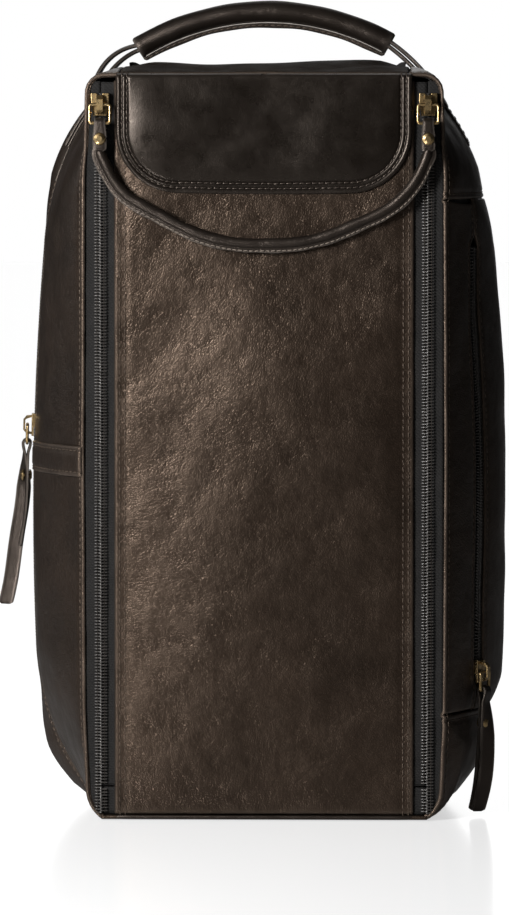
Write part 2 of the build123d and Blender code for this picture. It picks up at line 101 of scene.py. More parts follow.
FLOOR_Z = -0.0004
WHITE = (1, 1, 1, 1)
floor_mesh = bpy.data.meshes.new("floor")
floor_mesh.from_pydata(
    [(x, y, FLOOR_Z) for x, y in ((-6, -6), (6, -6), (6, 9), (-6, 9))], [], [(0, 1, 2, 3)])
floor = bpy.data.objects.new("floor", floor_mesh)
scene.collection.objects.link(floor)
paint = bpy.data.materials.new("white_floor")
paint.use_nodes = True
paint.node_tree.nodes.clear()
add = adder(paint.node_tree)
matt = add("BsdfDiffuse", {"Color": (0.5, 0.5, 0.5, 1)})
seen = add("LightPath")
lit = add("MapRange", {0: seen.outputs["Is Camera Ray"], 3: 0.06, 4: 1.0})
glow = add("Emission", {"Color": WHITE, "Strength": lit.outputs[0]})
shine = add("BsdfGlossy", {"Color": WHITE, "Roughness": 0.16})
both = add("AddShader", {0: matt.outputs[0], 1: glow.outputs[0]})
mixed = add("MixShader", {0: 0.4, 1: both.outputs[0], 2: shine.outputs[0]})
add("OutputMaterial", {0: mixed.outputs[0]})
floor_mesh.materials.append(paint)

# The world is white to the camera, and to mirrored rays in a narrow band behind the bag. Elsewhere
# it is nearly dark.
scene.world = bpy.data.worlds.new("studio")
scene.world.use_nodes = True
scene.world.node_tree.nodes.clear()
add = adder(scene.world.node_tree)
ray = add("LightPath")
where = add("TexCoord")
axes = add("SeparateXYZ", {0: where.outputs["Generated"]})
behind = add("MapRange", {0: axes.outputs[1], 1: 0.25, 2: 0.6, 3: 0, 4: 1})
mirrored = add("Math", {0: ray.outputs["Is Glossy Ray"], 1: ray.outputs["Is Transmission Ray"]},
               operation="MAXIMUM")
aside = add("Math", {0: axes.outputs[0]}, operation="ABSOLUTE")
narrow = add("MapRange", {0: aside.outputs[0], 1: 0.1, 2: 0.24, 3: 1, 4: 0})
middle = add("Math", {0: behind.outputs[0], 1: narrow.outputs[0]}, operation="MULTIPLY")
shown = add("Math", {0: mirrored.outputs[0], 1: middle.outputs[0]}, operation="MULTIPLY")
white = add("Math", {0: ray.outputs["Is Camera Ray"], 1: shown.outputs[0]}, operation="MAXIMUM")
level = add("MapRange", {0: white.outputs[0], 3: 0.018, 4: 1.0})
sky = add("Background", {0: WHITE, 1: level.outputs[0]})
add("OutputWorld", {0: sky.outputs[0]})

AIM, AWAY = Vector((-0.0045, -0.060, 0.1755)), 3.20
AZIMUTH, ELEVATION = np.radians(1.6), np.radians(3.4)
SENSOR, VIEW_WIDE = 36, 0.4425  # the sensor in millimetres, and the metres seen across at the aim
lens = bpy.data.cameras.new("camera")
eye = bpy.data.objects.new("camera", lens)
scene.collection.objects.link(eye)
eye.location = AIM + AWAY * Vector((
    np.sin(AZIMUTH) * np.cos(ELEVATION), -np.cos(AZIMUTH) * np.cos(ELEVATION), np.sin(ELEVATION)))
eye.rotation_euler = (AIM - eye.location).to_track_quat("-Z", "Y").to_euler()
lens.sensor_width, lens.lens = SENSOR, SENSOR * AWAY / VIEW_WIDE
lens.clip_start, lens.clip_end = 0.1, 30
scene.camera = eye


# ---- Back panel --------------------------------------------------------------------------
# One flat piece of pebbled leather, sewn all round to the gussets with its edge turned under,
# about 2 mm thick and a little slack in the middle.
MM = 0.001
REAR_Y = 65.0
LEATHER_THICK = 2.0
BACK_MIDDLE = np.array([0, 175.0])
BACK_LINE = [(83.5, -2.4, 15.6), (97.3, 47, 60), (100.4, 178, 1600), (93, 318, 60), (66, 354, 20),
             (0, 357, 600)]
BACK_OUTLINE = BACK_LINE + [(-x, z, r) for x, z, r in reversed(BACK_LINE[:-1])]


def rounded_run(corners, arc=24, line=14, closed=False):
    """Straight lines through corners (x, z, radius), each corner rounded by an arc tangent to both of its
    lines. Every arc has the same count of points and so has every line, so like runs match point by
    point."""
    corners = np.array(corners, float)
    at, radius = corners[:, :2], corners[:, 2]
    before, after = np.roll(at, 1, 0), np.roll(at, -1, 0)
    if not closed:
        before[0], after[-1] = 2 * at[0] - at[1], 2 * at[-1] - at[-2]
    into, out = at - before, after - at
    into /= np.linalg.norm(into, axis=1)[:, None]
    out /= np.linalg.norm(out, axis=1)[:, None]
    cross = into[:, 0] * out[:, 1] - into[:, 1] * out[:, 0]
    turn = np.arctan2(cross, (into * out).sum(1))
    reach = (radius * np.tan(np.abs(turn) / 2))[:, None]
    inner = np.stack([-into[:, 1], into[:, 0]], 1) * np.sign(turn)[:, None]
    step = np.linspace(0, 1, arc)[None, :, None]
    angle = np.abs(turn)[:, None, None] * step
    arcs = (at - into * reach)[:, None] + radius[:, None, None] * (
        np.sin(angle) * into[:, None] + (1 - np.cos(angle)) * inner[:, None])
    ends, starts = arcs[:, -1], np.roll(arcs[:, 0], -1, 0)
    share = np.linspace(0, 1, line + 2)[None, 1:-1, None]
    lines = ends[:, None] + (starts - ends)[:, None] * share
    whole = np.concatenate([arcs, lines], 1).reshape(-1, 2)
    return whole if closed else whole[: len(whole) - line]


def inset(corners, depth):
    """Corners of a closed outline moved inwards by depth: each goes along the sum of the normals of its
    two sides, divided by one plus their dot product, and its radius shrinks by the same depth."""
    corners = np.array(corners, float)
    at = corners[:, :2]
    into, out = at - np.roll(at, 1, 0), np.roll(at, -1, 0) - at
    into /= np.linalg.norm(into, axis=1)[:, None]
    out /= np.linalg.norm(out, axis=1)[:, None]
    first, second = np.stack([-into[:, 1], into[:, 0]], 1), np.stack([-out[:, 1], out[:, 0]], 1)
    moved = at + (first + second) * (depth / (1 + (first * second).sum(1)))[:, None]
    return np.column_stack([moved, np.maximum(corners[:, 2] - depth, 0.8)])


def mesh_from(name, points, corners, counts, smooth):
    """A mesh from points in millimetres, the corners of all faces in one row, and each face's count of
    them."""
    mesh = bpy.data.meshes.new(name)
    mesh.vertices.add(len(points))
    mesh.vertices.foreach_set("co", (points * MM).astype(np.float32).ravel())
    mesh.loops.add(len(corners))
    mesh.loops.foreach_set("vertex_index", corners.astype(np.int32))
    mesh.polygons.add(len(counts))
    mesh.polygons.foreach_set("loop_start", (np.cumsum(counts) - counts).astype(np.int32))
    mesh.update(calc_edges=True)
    mesh.polygons.foreach_set("use_smooth", smooth)
    return mesh


def fitted(name, body, finish, mesh, thick=0.0):
    """Puts a mesh into the bag as a piece, with a wall if it has a thickness. It rides on one body, and given
    two bodies and a stretch it stays fixed where it was built."""
    mesh.materials.append(finish)
    made = bpy.data.objects.new(name, mesh)
    scene.collection.objects.link(made)
    if thick:
        ply = made.modifiers.new("ply", "SOLIDIFY")
        ply.thickness, ply.offset = thick * MM, -1
    if isinstance(body, str):
        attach(made, body)
    else:
        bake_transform(made)
    return made


def surface(name, body, finish, grid, around=False, capped="", outward=None, thick=0.0, wear_and_highlight=None):
    """A mesh from a grid of points, with quads between neighbouring rows and columns. Around joins the
    last column to the first, and capped closes both ends or the last row with one face each. Faces are
    turned to the outward direction given, or else away from the middle of all the points."""
    rows, columns = grid.shape[:2]
    index = np.arange(rows * columns).reshape(rows, columns)
    ring = np.hstack([index, index[:, :1]]) if around else index
    quads = np.stack([ring[:-1, :-1], ring[1:, :-1], ring[1:, 1:], ring[:-1, 1:]], -1).reshape(-1, 4)
    points = grid.reshape(-1, 3)
    corner = points[quads]
    area = np.cross(corner[:, 2] - corner[:, 0], corner[:, 3] - corner[:, 1])
    if outward is None:
        away = corner.mean(1) - points.mean(0)
    else:
        away = np.broadcast_to(np.asarray(outward, float), grid.shape).reshape(-1, 3)[quads[:, 0]]
    last = index[-1][::-1]
    caps = {"both": [index[0], last], "last": [last], "": []}[capped]
    if (area * away).sum() < 0:
        quads = quads[:, ::-1]
        caps = [cap[::-1] for cap in caps]
    counts = np.array([4] * len(quads) + [len(cap) for cap in caps])
    mesh = mesh_from(name, points, np.concatenate([quads.ravel()] + caps), counts, counts == 4)
    if wear_and_highlight is not None:
        shares = wear_and_highlight.astype(np.float32).ravel()
        mesh.attributes.new("wear_and_highlight", "FLOAT", "POINT").data.foreach_set("value", shares)
    return fitted(name, body, finish, mesh, thick)


def new_finish(name, plain):
    """A material with plain values on its shader: gives it, its adder of nodes and its object coordinates."""
    made = bpy.data.materials.new(name)
    made.use_nodes = True
    for key, value in plain.items():
        made.node_tree.nodes["Principled BSDF"].inputs[key].default_value = value
    add = adder(made.node_tree)
    return made, add, add("TexCoord").outputs["Object"]


def wired(made, colour, normal, rough=None):
    """The material with its colour, its bump and, if given, its roughness linked to the shader."""
    inputs = made.node_tree.nodes["Principled BSDF"].inputs
    for key, socket in (("Base Color", colour), ("Normal", normal), ("Roughness", rough)):
        if socket is not None:
            made.node_tree.links.new(socket, inputs[key])
    return made


def leather(name, colour, rough, pebble, relief, shade=0.4, worn_and_lit=(0.10, 0.078, 0.062), gloss=0.4,
            tint=(1.0, 0.82, 0.70), soft_by=1.0):
    """Grained leather. A pattern of cells gives the pebbles, of that size and relief in millimetres, and
    finer noise the skin on them, and the dye is darker in the furrows between the pebbles, a painted shade.
    Slow noise gives patches of lighter and darker dye and soft creases, which also vary the gloss. A point
    attribute lightens folded
    edges towards the edge colour: rubbed wear on most pieces, and a painted highlight where a piece sets it
    along a fold line or a flange."""
    made, add, at = new_finish(name, {"Specular IOR Level": gloss, "Specular Tint": tint + (1,)})
    bend = add("TexNoise", {"Vector": at, "Scale": 240, "Detail": 2})
    shift = add("VectorMath", {0: bend.outputs["Color"], 1: (0.0014,) * 3}, operation="MULTIPLY")
    wavy = add("VectorMath", {0: at, 1: shift.outputs[0]}, operation="ADD")
    cells = add("TexVoronoi", {"Vector": wavy.outputs[0], "Scale": 1000 / pebble, "Randomness": 1.0},
                feature="DISTANCE_TO_EDGE")
    furrow = add("MapRange", {0: cells.outputs["Distance"], 1: 0.0, 2: 0.28}, interpolation_type="SMOOTHSTEP")
    fine = add("TexNoise", {"Vector": at, "Scale": 2600 / pebble, "Detail": 3})
    patch = add("TexNoise", {"Vector": at, "Scale": 22, "Detail": 5, "Roughness": 0.62})
    crease = add("TexNoise", {"Vector": at, "Scale": 75, "Detail": 4, "Roughness": 0.55})
    dark = tuple(c * (1 - shade) for c in colour) + (1,)
    light = tuple(c * (1 + shade) for c in colour) + (1,)
    spread = add("MapRange", {0: patch.outputs[0], 1: 0.32, 2: 0.68})
    dye = add("Mix", {0: spread.outputs[0], 6: dark, 7: light}, data_type="RGBA")
    # The dye is darkened in the furrows between the pebbles: painted shade in the grain's valleys.
    low = add("MapRange", {0: furrow.outputs[0], 3: 0.62, 4: 1.0})
    deep = add("VectorMath", {0: dye.outputs[2], "Scale": low.outputs[0]}, operation="SCALE")
    # The lighter edge colour is rubbed wear on most pieces, and a painted highlight where a piece sets it
    # along a fold or a flange.
    rub_and_highlight = add("Attribute", attribute_name="wear_and_highlight")
    patchy = add("Math", {0: rub_and_highlight.outputs["Fac"], 1: crease.outputs[0]}, operation="MULTIPLY")
    top = add("Mix", {0: patchy.outputs[0], 6: deep.outputs[0], 7: worn_and_lit + (1,)}, data_type="RGBA")
    polish = add("MapRange", {0: crease.outputs[0], 1: 0.3, 2: 0.7, 3: rough - 0.06, 4: rough + 0.09})
    soft = add("Bump", {"Height": crease.outputs[0], "Strength": 0.5, "Distance": 0.0016 * soft_by})
    grain = add("Bump", {"Height": furrow.outputs[0], "Strength": 0.6, "Distance": relief * MM,
                         "Normal": soft.outputs[0]})
    skin = add("Bump", {"Height": fine.outputs[0], "Strength": 0.5, "Distance": 0.4 * relief * MM,
                        "Normal": grain.outputs[0]})
    return wired(made, top.outputs[2], skin.outputs[0], polish.outputs[0])


def spaced(length, step=2.6, fine=0.5, margin=8.0):
    """Fractions of a length: steps of the fine size at both ends that widen evenly over the margin."""
    along = np.linspace(0, length, 2001)
    size = fine + (step - fine) * np.clip(np.minimum(along, length - along) / margin, 0, 1)
    count = np.concatenate([[0], np.cumsum(np.diff(along) / ((size[1:] + size[:-1]) / 2))])
    return np.interp(np.linspace(0, count[-1], int(np.ceil(count[-1])) + 1), count, along) / length


def unevenness(a, b, seed):
    """Soft hand of leather: a sum of nine sine waves 30 to 150 mm long, each turned its own way and with a
    height in proportion to its length, with phases from a seeded generator. It lies mostly between
    minus one and one."""
    dice = np.random.default_rng(seed)
    total = np.zeros(np.broadcast(a, b).shape)
    for length in (30, 38, 47, 58, 70, 85, 102, 124, 150):
        way, phase = dice.uniform(0, np.pi), dice.uniform(0, 2 * np.pi)
        total += length / 330 * np.sin(2 * np.pi * (a * np.cos(way) + b * np.sin(way)) / length + phase)
    return total


def turned(distance, radius):
    """Drop of an edge that is folded under, by a quarter round of that radius."""
    short = np.clip(radius - distance, 0, radius)
    return radius - np.sqrt(radius**2 - short**2)


def bell(value, middle, width):
    """A bell curve, one at the middle: a row of sewing draws leather in by it, and a side swells by it."""
    return np.exp(-((value - middle) / width) ** 2)


body_hide = leather("body_hide", (0.0125, 0.0082, 0.0058), 0.35, 1.15, 0.085, gloss=0.5,
                    tint=(1.0, 0.73, 0.55), soft_by=1.25)
depths = np.concatenate([np.arange(0, 2.4, 0.3), np.arange(2.4, 11, 0.7)])
lines = np.stack([rounded_run(inset(BACK_OUTLINE, d), 12, 12, closed=True) for d in depths])
shrink = np.linspace(1, 0.03, 50)[1:, None, None]
lines = np.concatenate([lines, BACK_MIDDLE + (lines[-1] - BACK_MIDDLE) * shrink])
edge = np.concatenate([depths, 10.5 + 80 * (1 - shrink[:, 0, 0])])[:, None]
lift = 1.0 * np.clip(edge / 25, 0, 1) * unevenness(lines[..., 0], lines[..., 1], 3) - turned(edge, 1.6)
lift -= 0.4 * bell(edge, 3.2, 0.8)
foot_lift = 2.9 * np.exp(-(lines[..., 1] + 2.4) / 6)
grid = np.stack([lines[..., 0], REAR_Y + lift, lines[..., 1] + foot_lift], -1)
back = surface("back_leather", "root", body_hide, grid, around=True, capped="last",
               outward=(0, 1, 0), thick=LEATHER_THICK, wear_and_highlight=np.exp(-edge / 1.2) + 0 * lift)
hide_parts("back_panel")


# ---- Gussets, top and base ------------------------------------------------------------------
# The sides, the top and the base are cut pieces of the same 2 mm pebbled leather, sewn into one
# tube that swells outwards between the front frame and the back, with turned and top-stitched seams.
FRONT_Y, WIDEST_Y = -65.0, 3.0
FRONT_LINE = [(0, -3, 1), (86.2, -3, 18), (87.3, 47, 1500), (87.9, 178, 5000), (87.3, 316.8, 1200),
              (86.6, 361, 9.5), (0, 361.8, 600), (-86.6, 361, 1)]
WIDEST_LINE = [(0, -3, 1), (82, -3, 14), (113.2, 47.4, 125), (118.3, 177.6, 1580), (106.8, 316.7, 130),
               (71, 363, 12), (0, 371, 600), (-71, 363, 1)]
REAR_LINE = [(0, -3, 1), (84, -3, 16), (97.5, 47, 60), (100.5, 178, 1600), (93, 318, 60), (66, 354, 20),
             (0, 357, 600), (-66, 354, 1)]
HALVES = np.stack([rounded_run(line, 33, 40) for line in (FRONT_LINE, WIDEST_LINE, REAR_LINE)])
HALVES = HALVES[:, HALVES[2, :, 0] > -1e-6]
RUN = np.arange(HALVES.shape[1], dtype=float)
TOP_FROM = 325  # above this height an outline is the bag's top, and below it the side
TOP_HALF = 70
EDGES = ("low", "high", "front", "back")


def depth_parts(y):
    """Weights of the front, the widest and the rear outline at depth y, by the parabola through the three."""
    f, w, r = FRONT_Y, WIDEST_Y, REAR_Y
    return [(y - w) * (y - r) / ((f - w) * (f - r)), (y - f) * (y - r) / ((w - f) * (w - r)),
            (y - f) * (y - w) / ((r - f) * (r - w))]


def cross_line(y):
    """The right half of the bag's outline at depth y, from the base to the crown, point by point."""
    return sum(part * half for part, half in zip(depth_parts(y), HALVES))


def half_width(y, height):
    """How far from the middle the outline at depth y stands at a height."""
    line = cross_line(y)
    return np.interp(height, line[:, 1], line[:, 0])


def place_on(line, limit):
    """Where along an outline a limit lies: ("z", height) on the side, or ("x", half-width) on the top."""
    kind, value = limit
    if kind == "z":
        return np.interp(value, line[:, 1], RUN)
    top = line[:, 1] > TOP_FROM
    return np.interp(value, line[top, 0][::-1], RUN[top][::-1])


def on_skin(side, run, y):
    """Points of the bag's skin for arrays of outline places and depths."""
    x, z = (sum(part * np.interp(run, RUN, half[:, k]) for part, half in zip(depth_parts(y), HALVES))
            for k in (0, 1))
    return np.stack([side * x, y + 0 * x, z], -1)


def distance_along(path):
    """Distance of each point of a path from its start."""
    return np.concatenate([[0], np.cumsum(np.linalg.norm(np.diff(path, axis=0), axis=1))])


def sampled(field, length, want):
    """A field's values at the wanted distances along its path."""
    return np.stack([np.interp(want, length, field[:, k]) for k in range(field.shape[1])], 1)


def smooth(share):
    """An S-curve from nought to one."""
    return share * share * (3 - 2 * share)


def skin_grid(side, ys, low, high, steps, shut=None):
    """Points on the bag's skin, rows up the side and columns from front to back. Each column is the
    outline at its own depth, cut between two limits and divided at the given fractions of its length.
    Shut names a zip's edge and its two ends: past them that edge moves over by half the zip's slot,
    over 7 mm, to meet its neighbour."""
    columns, heights = [], []
    for y in ys:
        line = cross_line(y)
        ends = [place_on(line, limit) for limit in (low, high)]
        fine = np.linspace(*ends, 900)
        points = np.stack([np.interp(fine, RUN, line[:, k]) for k in (0, 1)], 1)
        length = distance_along(points)
        columns.append(np.interp(steps * length[-1], length, fine))
        heights.append(np.interp(steps * length[-1], length, points[:, 1]))
    run, height = np.stack(columns, 1), np.stack(heights, 1)
    y = np.broadcast_to(ys, run.shape)
    if shut:
        edge, first, last = shut
        share = (ys - ys[0]) / (ys[-1] - ys[0])
        past = smooth(np.clip((first - height) / 7, 0, 1) + np.clip((height - last) / 7, 0, 1))
        y = y + SLOT * past * (share if edge == "back" else share - 1)
    return on_skin(side, run, y)


def outward_of(grid, hint):
    """Unit normals of a grid of points, from the cross product of its two differences, on the side of the
    hint."""
    normal = np.cross(np.gradient(grid, axis=0), np.gradient(grid, axis=1))
    normal /= np.linalg.norm(normal, axis=-1, keepdims=True) + 1e-12
    return normal * np.where((normal * hint).sum() < 0, -1.0, 1.0)


def insets(grid):
    """Distance of every grid point from each of the four edges, along the rows and the columns."""
    down = np.pad(np.cumsum(np.linalg.norm(np.diff(grid, axis=0), axis=-1), 0), ((1, 0), (0, 0)))
    along = np.pad(np.cumsum(np.linalg.norm(np.diff(grid, axis=1), axis=-1), 1), ((0, 0), (1, 0)))
    return {"low": down, "high": down[-1] - down, "front": along, "back": along[:, -1:] - along}


def between(first, last):
    """Places from first to last, close together at both ends."""
    return first + (last - first) * spaced(last - first)


def cut_piece(name, body, finish, grid, hint, folds, sewn, hand, seed,
              thick=LEATHER_THICK, radius=1.5, swell=0.0):
    """One leather piece on a grid: moved along its normals by its unevenness and swell, which fade out
    towards the edges, turned down by a quarter round at each folded edge, and drawn in along each sewn
    row. It gives the piece, and its points, normals and distances from the edges."""
    normal, reach = outward_of(grid, np.asarray(hint, float)), insets(grid)
    nearest = np.minimum.reduce([reach[e] for e in EDGES])
    across = grid[..., 1] if np.ptp(grid[..., 1]) > np.ptp(grid[..., 0]) else grid[..., 0]
    lift = (hand * unevenness(across, grid[..., 2], seed) + swell) * np.clip(nearest / 14, 0, 1)
    wear_and_highlight = np.zeros(lift.shape)
    for e in folds:
        lift = lift - turned(reach[e], radius)
        wear_and_highlight = np.maximum(wear_and_highlight, np.exp(-reach[e] / 1.1))
    for e, from_edge in sewn:
        lift = lift - 0.55 * bell(reach[e], from_edge, 0.75)
    laid = grid + lift[..., None] * normal
    made = surface(name, body, finish, laid, outward=normal, thick=thick, wear_and_highlight=wear_and_highlight)
    return made, (laid, normal, reach)


def row_at(cut, edge, from_edge):
    """The line on a cut piece at a distance from one edge: between the two grid points that lie on either
    side of that distance, in proportion. It gives points and normals."""
    laid, normal, reach = cut
    far = reach[edge]
    if edge in ("low", "high"):
        far, laid, normal = far.T, laid.transpose(1, 0, 2), normal.transpose(1, 0, 2)
    if edge in ("high", "back"):
        far, laid, normal = far[:, ::-1], laid[:, ::-1], normal[:, ::-1]
    after = np.clip((far < from_edge).sum(1), 1, far.shape[1] - 1)
    row = np.arange(len(far))
    part = ((from_edge - far[row, after - 1]) / (far[row, after] - far[row, after - 1] + 1e-9))[:, None]
    return tuple(field[row, after - 1] * (1 - part) + field[row, after] * part for field in (laid, normal))


def repeated(name, body, finish, unit, quads, centres, axes, slot):
    """Copies of one small mesh in a single object: every copy is the unit's points times its own three
    axes, plus its own centre."""
    points = centres[:, None] + np.einsum("pk,nkc->npc", unit, axes)
    faces = (quads[None] + np.arange(len(centres))[:, None, None] * len(unit)).reshape(-1, 4)
    counts = np.full(len(faces), 4)
    mesh = mesh_from(name, points.reshape(-1, 3), faces.ravel(), counts, counts == 4)
    return fitted(name, body, finish, mesh)


def bead(stations, radii, sides=6):
    """A small closed bar along its first axis: rings of the given radii at the given stations, and flat
    ends."""
    turn = np.arange(sides) / sides * 2 * np.pi
    ring = np.stack([np.zeros(sides), np.cos(turn), np.sin(turn)], 1)
    unit = np.concatenate([ring * r + [s, 0, 0] for s, r in zip(stations, radii)])
    index = np.arange(len(unit)).reshape(len(stations), sides)
    wrap = np.hstack([index, index[:, :1]])
    quads = np.stack([wrap[:-1, :-1], wrap[:-1, 1:], wrap[1:, 1:], wrap[1:, :-1]], -1).reshape(-1, 4)
    first, last = index[0], index[-1]
    ends = [first[[0, 5, 4, 3]], first[[0, 3, 2, 1]], last[:4], last[[0, 3, 4, 5]]]
    return unit, np.concatenate([quads, ends])


STITCH = bead([-1.25, -1.0, -0.45, 0.45, 1.0, 1.25], [0.10, 0.24, 0.31, 0.31, 0.24, 0.10])
thread = leather("waxed_thread", (0.068, 0.050, 0.037), 0.42, 0.5, 0.04)


def stitches(name, body, lines, finish=thread, gap=3.3, size=1.0, rise=0.1, slot="trim_leather", margin=1.5):
    """Sewing: a thread bead at every gap along each line of points and normals, laid along the line with a
    slight slant, half sunk in the leather."""
    centres, axes = [], []
    dice = np.random.default_rng(len(name))
    for path, normal in lines:
        length = distance_along(path)
        count = max(int((length[-1] - 2 * margin) / gap), 2)
        want = np.linspace(margin, length[-1] - margin, count)
        here, up = sampled(path, length, want), sampled(normal, length, want)
        ahead = np.gradient(here, axis=0)
        ahead /= np.linalg.norm(ahead, axis=1)[:, None]
        up /= np.linalg.norm(up, axis=1)[:, None]
        beside = np.cross(up, ahead)
        slant = dice.uniform(0.02, 0.14, (len(here), 1))
        ahead, beside = ahead + slant * beside, beside - slant * ahead
        centres.append(here + up * rise)
        axes.append(np.stack([ahead, beside, up], 1) * size)
    repeated(name, body, finish, *STITCH, np.concatenate(centres), np.concatenate(axes), slot)


SLOT = 4.6  # half of the slot that a side zip fills
ZIP_Y = {"left": 1, "right": -37}
COIL_ENDS = {"left": (38, 306), "right": (67, 277)}
FRONT_EDGE, REAR_EDGE = -64.9, 64.2
BASE_LIMIT, TOP_LIMIT = ("z", 0.3), ("x", TOP_HALF)
FRONT_ROW, BACK_ROW = ("front", 3.0), ("back", 3.0)
body_rows = []


def gusset(node, side, ys, low, high, long, sewn, seed, hand=0.9, swell=(0, 0, 0), shut=None):
    """A side piece about so long between two depths and two limits, with its sewn rows kept. It swells by
    the three amounts overall, near the base and at the shoulder, each of the last two a bell in height."""
    grid = skin_grid(side, between(*ys), low, high, spaced(long), shut)
    z = grid[..., 2]
    swell = swell[0] + swell[1] * bell(z, 26, 26) + swell[2] * bell(z, 318, 38)
    made, cut = cut_piece(f"{node}_hide", "root", body_hide, grid, (side, 0, 0.15), EDGES, sewn, hand, seed,
                          radius=1.1, swell=swell)
    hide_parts(node)
    body_rows.extend(row_at(cut, *row) for row in sewn)


gusset("gusset_left_front", -1, (FRONT_EDGE, ZIP_Y["left"] - SLOT), BASE_LIMIT, TOP_LIMIT, 320,
       [FRONT_ROW, ("back", 2.6)], 11, 1.1, shut=("back", *COIL_ENDS["left"]))
gusset("gusset_left_rear", -1, (ZIP_Y["left"] + SLOT, REAR_EDGE), BASE_LIMIT, TOP_LIMIT, 320,
       [("front", 2.6), BACK_ROW], 12, 1.1, (0.5, 8.5, 4.5), shut=("front", *COIL_ENDS["left"]))
gusset("gusset_right_shoulder", 1, (FRONT_EDGE, REAR_EDGE), ("z", 300.1), TOP_LIMIT, 60,
       [FRONT_ROW, ("low", 2.8), BACK_ROW], 13, swell=(0.5, 0, 1.0))
gusset("gusset_right_lower", 1, (FRONT_EDGE, REAR_EDGE), BASE_LIMIT, ("z", 50.9), 60,
       [FRONT_ROW, ("high", 2.8), BACK_ROW], 14, swell=(0.5, 6.0, 0))
gusset("pocket_panel_right", 1, (FRONT_EDGE, ZIP_Y["right"] - SLOT), ("z", 51.1), ("z", 299.9), 250,
       [FRONT_ROW, ("back", 2.6)], 15, shut=("back", *COIL_ENDS["right"]))
gusset("gusset_right_rear", 1, (ZIP_Y["right"] + SLOT, REAR_EDGE), ("z", 51.1), ("z", 299.9), 250,
       [("front", 2.6), BACK_ROW], 16, swell=(1.2, 6.0, 0), shut=("front", *COIL_ENDS["right"]))


def top_heights(y, across):
    """Heights of the bag's top at depth y, at places across it."""
    line = cross_line(y)
    top = line[line[:, 1] > TOP_FROM][::-1]
    return np.interp(np.abs(across), top[:, 0], top[:, 1])


columns = between(FRONT_EDGE, REAR_EDGE)
across = between(-TOP_HALF, TOP_HALF)
grid = np.stack([np.stack([across, np.full(len(across), y), top_heights(y, across)], 1) for y in columns], 1)
slump = -1.6 * bell(grid[..., 1], 8, 26) * np.cos(grid[..., 0] / 21 + 0.6)
matt_hide = leather("matt_hide", (0.022, 0.0155, 0.0112), 0.62, 1.15, 0.1, gloss=0.05)
top, cut = cut_piece("top_hide", "root", matt_hide, grid, (0, 0, 1), EDGES, [FRONT_ROW, BACK_ROW], 1.5, 17,
                     radius=1.6, swell=slump)
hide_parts("top_panel")
body_rows.append(row_at(cut, *BACK_ROW))

half = np.array([half_width(y, 0.2) for y in columns])
share = 2 * spaced(150) - 1
shape = (len(share), len(columns))
grid = np.stack([share[:, None] * half, np.broadcast_to(columns, shape), np.full(shape, 0.15)], -1)
base, _ = cut_piece("base_hide", "root", body_hide, grid, (0, 0, -1), (), (), 0.0, 18, thick=1.8)
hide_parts("bottom_panel")
stitches("body_stitches", "root", body_rows)


# ---- Front panel -------------------------------------------------------------------------
# The door's outer leather runs in one piece from under the flap to the base. Its long sides are turned
# under and sewn down on the zip tape with two rows.
FOLD = ("root", "door", (0, -0.065, 0.005), (0, -0.065, 0.029))
PANEL_HALF, PANEL_LOW, PANEL_HIGH = 72.5, 2.4, 357.6
PANEL_ROWS = [(edge, depth) for edge in ("front", "back") for depth in (2.7, 5.3)]
x, z = np.meshgrid(between(-PANEL_HALF, PANEL_HALF), between(PANEL_LOW, PANEL_HIGH))
grid = np.stack([x, np.full(x.shape, FRONT_Y), z], -1)
crown = (1 - (x / PANEL_HALF) ** 2) * (0.8 + 4.4 / (1 + np.exp((z - 236) / 13))) * (1 - np.exp(-z / 45))
tuck = 3.2 * np.exp(-(z - PANEL_LOW) / 3.0)
panel, cut = cut_piece("front_panel_hide", FOLD, body_hide, grid, (0, -1, 0), EDGES, PANEL_ROWS, 0.9, 21,
                       radius=1.7, swell=crown - tuck)
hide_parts("front_panel", "front_sill")
stitches("front_panel_stitches", FOLD, [row_at(cut, *row) for row in PANEL_ROWS])


# ---- Flap --------------------------------------------------------------------------------
# A padded patch of smooth leather over the top of the front panel, sewn down along its sides and
# its lower edge with two rows close to its turned edge, so that the middle swells. It is coloured darker than
# the body hide, partly its own darker leather and partly painted shade. Its top runs into the top seam, where
# a thin light line along the fold is a painted highlight.
FLAP_HALF, FLAP_LOW, FLAP_TOP, FLAP_CORNER = 71.5, 302.4, 360.9, 30
FLAP_ROWS = (2.9, 5.5)


def flap_line(depth):
    """The sides and the lower edge of the flap, drawn in by a depth."""
    half, low, corner = FLAP_HALF - depth, FLAP_LOW + 1.2 + depth, FLAP_CORNER - depth
    return rounded_run([(-half, FLAP_TOP, 1), (-half, low, corner), (0, FLAP_LOW + depth, 1500),
                        (half, low, corner), (half, FLAP_TOP, 1)], 26, 30)


# The flap's colour is set darker than the body hide: partly the leather's own colour, partly painted shade.
flap_hide = leather("flap_hide", (0.0062, 0.0046, 0.0035), 0.29, 0.8, 0.03, worn_and_lit=(0.06, 0.048, 0.04),
                    shade=0.12, gloss=0.32, tint=(1.0, 0.84, 0.72), soft_by=0.35)
depths = np.concatenate([np.arange(0, 7.2, 0.3), np.arange(7.2, 13, 0.8)])
rings = np.stack([flap_line(depth) for depth in depths])
middle = np.array([0, FLAP_TOP])
shrink = np.linspace(1, 0.01, 50)[1:, None, None]
rings = np.concatenate([rings, middle + (rings[-1] - middle) * shrink])
edge = np.concatenate([depths, depths[-1] + 42 * (1 - shrink[:, 0, 0])])[:, None]
below = FLAP_TOP - rings[..., 1]
padding = np.where(edge > 6, 2.3 * (1 - np.exp(-(edge - 6) / 6.0)), 0) * (1 - np.exp(-below / 30))
hand = 0.8 * np.clip((edge - 5) / 12, 0, 1) * np.clip(below / 8, 0, 1)
hand = hand * unevenness(rings[..., 0], rings[..., 1], 5)
lift = 1.9 - turned(edge, 1.7) - turned(below, 2.2) + padding + hand
